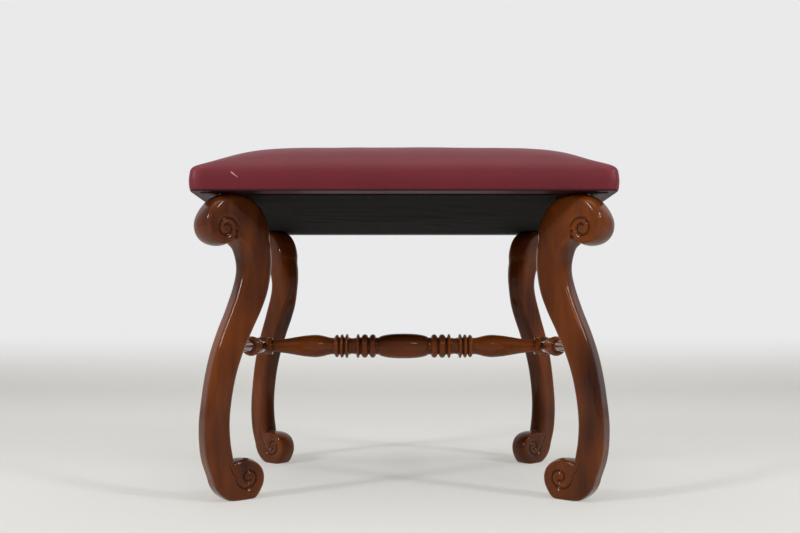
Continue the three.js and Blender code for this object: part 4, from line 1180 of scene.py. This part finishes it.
def tack_tree():
    """Geometry Nodes that set tack heads along a rectangle, except near its corners."""
    names = ("Width", "Depth", "Height", "Spacing", "Corner X", "Corner Y")
    tree = PieceTree("tacks", dict.fromkeys(names, "Float"))
    given = tree.given
    inputs = {"Width": given["Width"], "Height": given["Depth"]}
    route = tree.node("GeometryNodeCurvePrimitiveQuadrilateral", inputs=inputs)
    inputs = {"Curve": route, "Length": given["Spacing"]}
    points = tree.node("GeometryNodeCurveToPoints", {"mode": "LENGTH"}, inputs)
    inputs = {"Vector": tree.node("GeometryNodeInputPosition")}
    beyond = [
        tree.node("ShaderNodeSeparateXYZ", inputs=inputs, output=axis)
        .math("ABSOLUTE").math("GREATER_THAN", given[f"Corner {axis}"])
        for axis in "XY"
    ]
    inputs = {"Geometry": points, "Selection": beyond[0] * beyond[1]}
    kept = tree.node("GeometryNodeDeleteGeometry", {"domain": "POINT"}, inputs)
    ball = tree.node("GeometryNodeMeshUVSphere", inputs={"Segments": 12, "Rings": 8, "Radius": TACK_RADIUS})
    inputs = {"Geometry": ball, "Scale": (1, 1, TACK_RISE / TACK_RADIUS)}
    inputs = {"Points": kept, "Instance": tree.node("GeometryNodeTransform", inputs=inputs)}
    heads = tree.node("GeometryNodeInstanceOnPoints", inputs=inputs)
    lift = tree.node("ShaderNodeCombineXYZ", inputs={"Z": given["Height"]})
    return tree.end(tree.node("GeometryNodeTransform", inputs={"Geometry": heads, "Translation": lift}))


class STOOL_OT_tacks(bpy.types.Operator):
    """Make the tacks round the dust cover"""

    bl_idname = "stool.tacks"
    bl_label = "Tacks"

    def execute(self, context):
        seat = context.scene.stool_seat
        width = DUST_HIGH.x - DUST_LOW.x - 2 * HEM_INSET
        depth = DUST_HIGH.y - DUST_LOW.y - 2 * HEM_INSET
        tacks = add_object("dust_cover_tacks", bpy.data.meshes.new("dust_cover_tacks"), smooth=False)
        values = {
            "Width": width, "Depth": depth, "Height": DUST_HIGH.z - seat.dust_cover_thickness,
            "Spacing": seat.tack_spacing, "Corner X": width / 2 - CORNER_CLEAR,
            "Corner Y": depth / 2 - CORNER_CLEAR,
            "Material": dull_steel("blued_steel", (0.008, 0.008, 0.009), (0.012, 0.009, 0.007)),
        }
        apply_tree(tacks, tack_tree(), values, "dust_cover_tacks")
        tacks.data.shade_smooth()
        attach(tacks, "root")
        return {"FINISHED"}


# What the seat holds inside

PAD_SHARES = 1 - np.linspace(0.002, 0.96, 40)
PAD_CLEAR = 0.5 * MM
PAD_DROP = 1.2 * MM


def dress(part, material):
    """Gives the nodes that have a part's name in theirs a material."""
    for node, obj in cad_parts.items():
        if part in node:
            obj.data.materials.clear()
            obj.data.materials.append(material)


class STOOL_OT_seat_frame(bpy.types.Operator):
    """Finish the rails, corner blocks and screws"""

    bl_idname = "stool.seat_frame"
    bl_label = "Seat frame"

    def execute(self, context):
        along, across = plain_wood("frame_timber_along", 0), plain_wood("frame_timber_across", 1)
        steel = dull_steel("screw_steel_finish", (0.55, 0.55, 0.53), (0.2, 0.12, 0.08))
        dress("screw", steel)
        for part in ("seat_rail_front", "seat_rail_back", "corner_block"):
            dress(part, along)
        for part in ("seat_rail_left", "seat_rail_right"):
            dress(part, across)
        return {"FINISHED"}


class STOOL_OT_underlay(bpy.types.Operator):
    """Finish the webbing, the hessian and the stuffing"""

    bl_idname = "stool.underlay"
    bl_label = "Webbing and stuffing"

    def execute(self, context):
        dress("web_", woven_cloth("jute_webbing", (0.42, 0.3, 0.17), (0.2, 0.13, 0.07), 700, slant=1.0))
        dress("hessian_sheet", woven_cloth("hessian_cloth", (0.45, 0.34, 0.2), (0.16, 0.11, 0.06), 500))
        seat = context.scene.stool_seat
        margin = LEATHER_HIGH.x - PAD_HIGH.x + PAD_CLEAR
        outline, _ = plan_outline(LEATHER_HIGH.x - margin, LEATHER_HIGH.y - margin, seat.corner_radius)
        shoulder = LEATHER_LOW.z + seat.side_height - margin - PAD_DROP
        rings = [flat_ring(outline * 0.997, PAD_LOW.z)]
        for share in PAD_SHARES:
            ring = outline * share
            rings.append(flat_ring(ring, shoulder + crown_height(*ring.T)))
        points = np.vstack(rings)
        mesh = mesh_from("stuffing", points, skin_faces(len(rings), len(outline), True, True))
        set_places(mesh, relax(points, edges_of(mesh), 4, 0.3))
        pad = add_object("stuffing", mesh)
        mesh.materials.append(felted("curled_hair", (0.16, 0.12, 0.08), (0.05, 0.035, 0.025)))
        hand_over(pad, "stuffing_pad")
        return {"FINISHED"}


# The stage

# Backdrop: half width, radius of the bend at its foot, height, and distance behind the stool
BACKDROP_HALF, BACKDROP_BEND, BACKDROP_HEIGHT, BACKDROP_DISTANCE = 6, 0.6, 5, 2.6
BEND_STEPS = 16
WALL_STARTS = 0.25
WALL_SEEN = (0.82, 0.82, 0.83)
FLOOR_SEEN = (0.8, 0.78, 0.73)
FLOOR_SHARE_SEEN = 0.45
ROOM_LIGHT = (0.146, 0.15, 0.156)
ROOM_SEEN = (0.42, 0.42, 0.43)
SENSOR_WIDTH = 36
CLIP_END = 50
LAMP_TARGET = Vector((0, 0, 0.25))
# Lamps: name, place, width and height, watts
LAMPS = (
    ("window_left", (-2.2, -1.6, 1.7), (0.32, 0.76), 38),
    ("window_right", (2.2, -1.5, 1.8), (0.32, 0.76), 33),
    ("small_front", (0.5, -2.6, 1.5), (0.34, 0.3), 4),
    ("soft_above", (0, -0.4, 2.9), (2.6, 2.2), 34),
)


def add_lamp(name, place, size, power):
    """A soft oblong lamp that looks at the stool."""
    data = bpy.data.lights.new(name, "AREA")
    data.shape = "RECTANGLE"
    data.size, data.size_y = size
    data.energy = power
    lamp = bpy.data.objects.new(name, data)
    lamp.location = place
    lamp.rotation_euler = (LAMP_TARGET - Vector(place)).to_track_quat("-Z", "Y").to_euler()
    bpy.context.scene.collection.objects.link(lamp)


def floor_material(colour):
    """Matt floor and backdrop, seen paler than the lamps leave them; the floor keeps its shadow."""
    finish = Finish("pale_floor")
    plain = finish.node("ShaderNodeTexCoord", output="Object")
    pile = finish.noise(plain, 60, detail=3)
    wall = finish.part(plain, "Z").between(0, WALL_STARTS)
    tint = finish.mix(pile.between(0.2, 0.8) * 0.3, tuple(colour), shade(colour, 0.94))
    matt = finish.node("ShaderNodeBsdfPrincipled", inputs={"Base Color": tint, "Roughness": 0.95})
    shown = finish.mix(wall, FLOOR_SEEN, WALL_SEEN)
    pale = finish.node("ShaderNodeEmission", inputs={"Color": shown, "Strength": 1})
    share = finish.seen_rays() * (FLOOR_SHARE_SEEN + wall * (1 - FLOOR_SHARE_SEEN))
    mixed = finish.node("ShaderNodeMixShader", inputs={0: share, 1: matt, 2: pale})
    finish.node("ShaderNodeOutputMaterial", inputs={"Surface": mixed})
    return finish.material


def studio_world():
    """Faint light from all round, seen as a paler room."""
    finish = Finish("studio_light", "worlds")
    colours = (ROOM_LIGHT, ROOM_SEEN)
    light, pale = (finish.node("ShaderNodeBackground", inputs={"Color": (*colour, 1)}) for colour in colours)
    mixed = finish.node("ShaderNodeMixShader", inputs={0: finish.seen_rays(), 1: light, 2: pale})
    finish.node("ShaderNodeOutputWorld", inputs={"Surface": mixed})
    return finish.material


class STOOL_OT_stage(bpy.types.Operator):
    """Make the floor, the backdrop, the lamps and the camera"""

    bl_idname = "stool.stage"
    bl_label = "Stage"

    def execute(self, context):
        scene = context.scene
        stage = scene.stool_stage
        angles = np.linspace(0, QUARTER, BEND_STEPS + 1)
        flat = BACKDROP_DISTANCE - BACKDROP_BEND
        bend = [(flat + BACKDROP_BEND * math.sin(a), BACKDROP_BEND * (1 - math.cos(a))) for a in angles]
        profile = [(-BACKDROP_HALF, 0), *bend, (BACKDROP_DISTANCE, BACKDROP_HEIGHT)]
        points = [(x, y, z) for y, z in profile for x in (-BACKDROP_HALF, BACKDROP_HALF)]
        faces = [(2 * i, 2 * i + 1, 2 * i + 3, 2 * i + 2) for i in range(len(profile) - 1)]
        floor = add_object("studio_floor", mesh_from("studio_floor", points, faces))
        floor.data.materials.append(floor_material(stage.floor_colour))
        for lamp in LAMPS:
            add_lamp(*lamp)
        scene.world = studio_world()
        data = bpy.data.cameras.new("photo_camera")
        data.lens = stage.lens
        data.sensor_width = SENSOR_WIDTH
        data.sensor_fit = "HORIZONTAL"
        data.clip_end = CLIP_END
        camera = bpy.data.objects.new("photo_camera", data)
        scene.collection.objects.link(camera)
        pitch = Matrix.Rotation(QUARTER + stage.camera_pitch, 4, "X")
        camera.matrix_world = Matrix.Translation(stage.camera_place) @ pitch
        scene.camera = camera
        scene.view_settings.view_transform = "Standard"
        return {"FINISHED"}


class STOOL_PT_panel(bpy.types.Panel):
    """The stool's steps and settings"""

    bl_label = "Scroll-leg stool"
    bl_idname = "STOOL_PT_panel"
    bl_space_type = "VIEW_3D"
    bl_region_type = "UI"
    bl_category = "Stool"

    def draw(self, context):
        for title, settings, operators in PANEL_ROWS:
            box = self.layout.box()
            box.label(text=title)
            group = getattr(context.scene, settings)
            for name in group.bl_rna.properties.keys():
                if name not in ("rna_type", "name"):
                    box.prop(group, name)
            for operator in operators:
                box.operator(operator.bl_idname)


PANEL_ROWS = (
    ("Legs", "stool_legs", (STOOL_OT_legs,)),
    ("Stretchers", "stool_stretchers", (STOOL_OT_stretchers,)),
    ("Seat", "stool_seat", (STOOL_OT_leather, STOOL_OT_dust_cover, STOOL_OT_tacks)),
    ("Finishes", "stool_finish", (STOOL_OT_seat_frame, STOOL_OT_underlay)),
    ("Stage", "stool_stage", (STOOL_OT_stage,)),
)
SETTINGS = {
    "stool_legs": StoolLegSettings,
    "stool_stretchers": StoolStretcherSettings,
    "stool_seat": StoolSeatSettings,
    "stool_finish": StoolFinishSettings,
    "stool_stage": StoolStageSettings,
}
OPERATORS = tuple(operator for row in PANEL_ROWS for operator in row[2])


def register():
    for name, settings in SETTINGS.items():
        bpy.utils.register_class(settings)
        setattr(bpy.types.Scene, name, bpy.props.PointerProperty(type=settings))
    for operator in OPERATORS:
        bpy.utils.register_class(operator)
    bpy.utils.register_class(STOOL_PT_panel)


def unregister():
    bpy.utils.unregister_class(STOOL_PT_panel)
    for operator in reversed(OPERATORS):
        bpy.utils.unregister_class(operator)
    for name, settings in SETTINGS.items():
        delattr(bpy.types.Scene, name)
        bpy.utils.unregister_class(settings)


def main():
    """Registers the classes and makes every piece."""
    register()
    bpy.ops.stool.stage()
    bpy.ops.stool.legs()
    bpy.ops.stool.stretchers()
    bpy.ops.stool.leather()
    bpy.ops.stool.dust_cover()
    bpy.ops.stool.tacks()
    bpy.ops.stool.seat_frame()
    bpy.ops.stool.underlay()


if __name__ == "__main__":
    main()
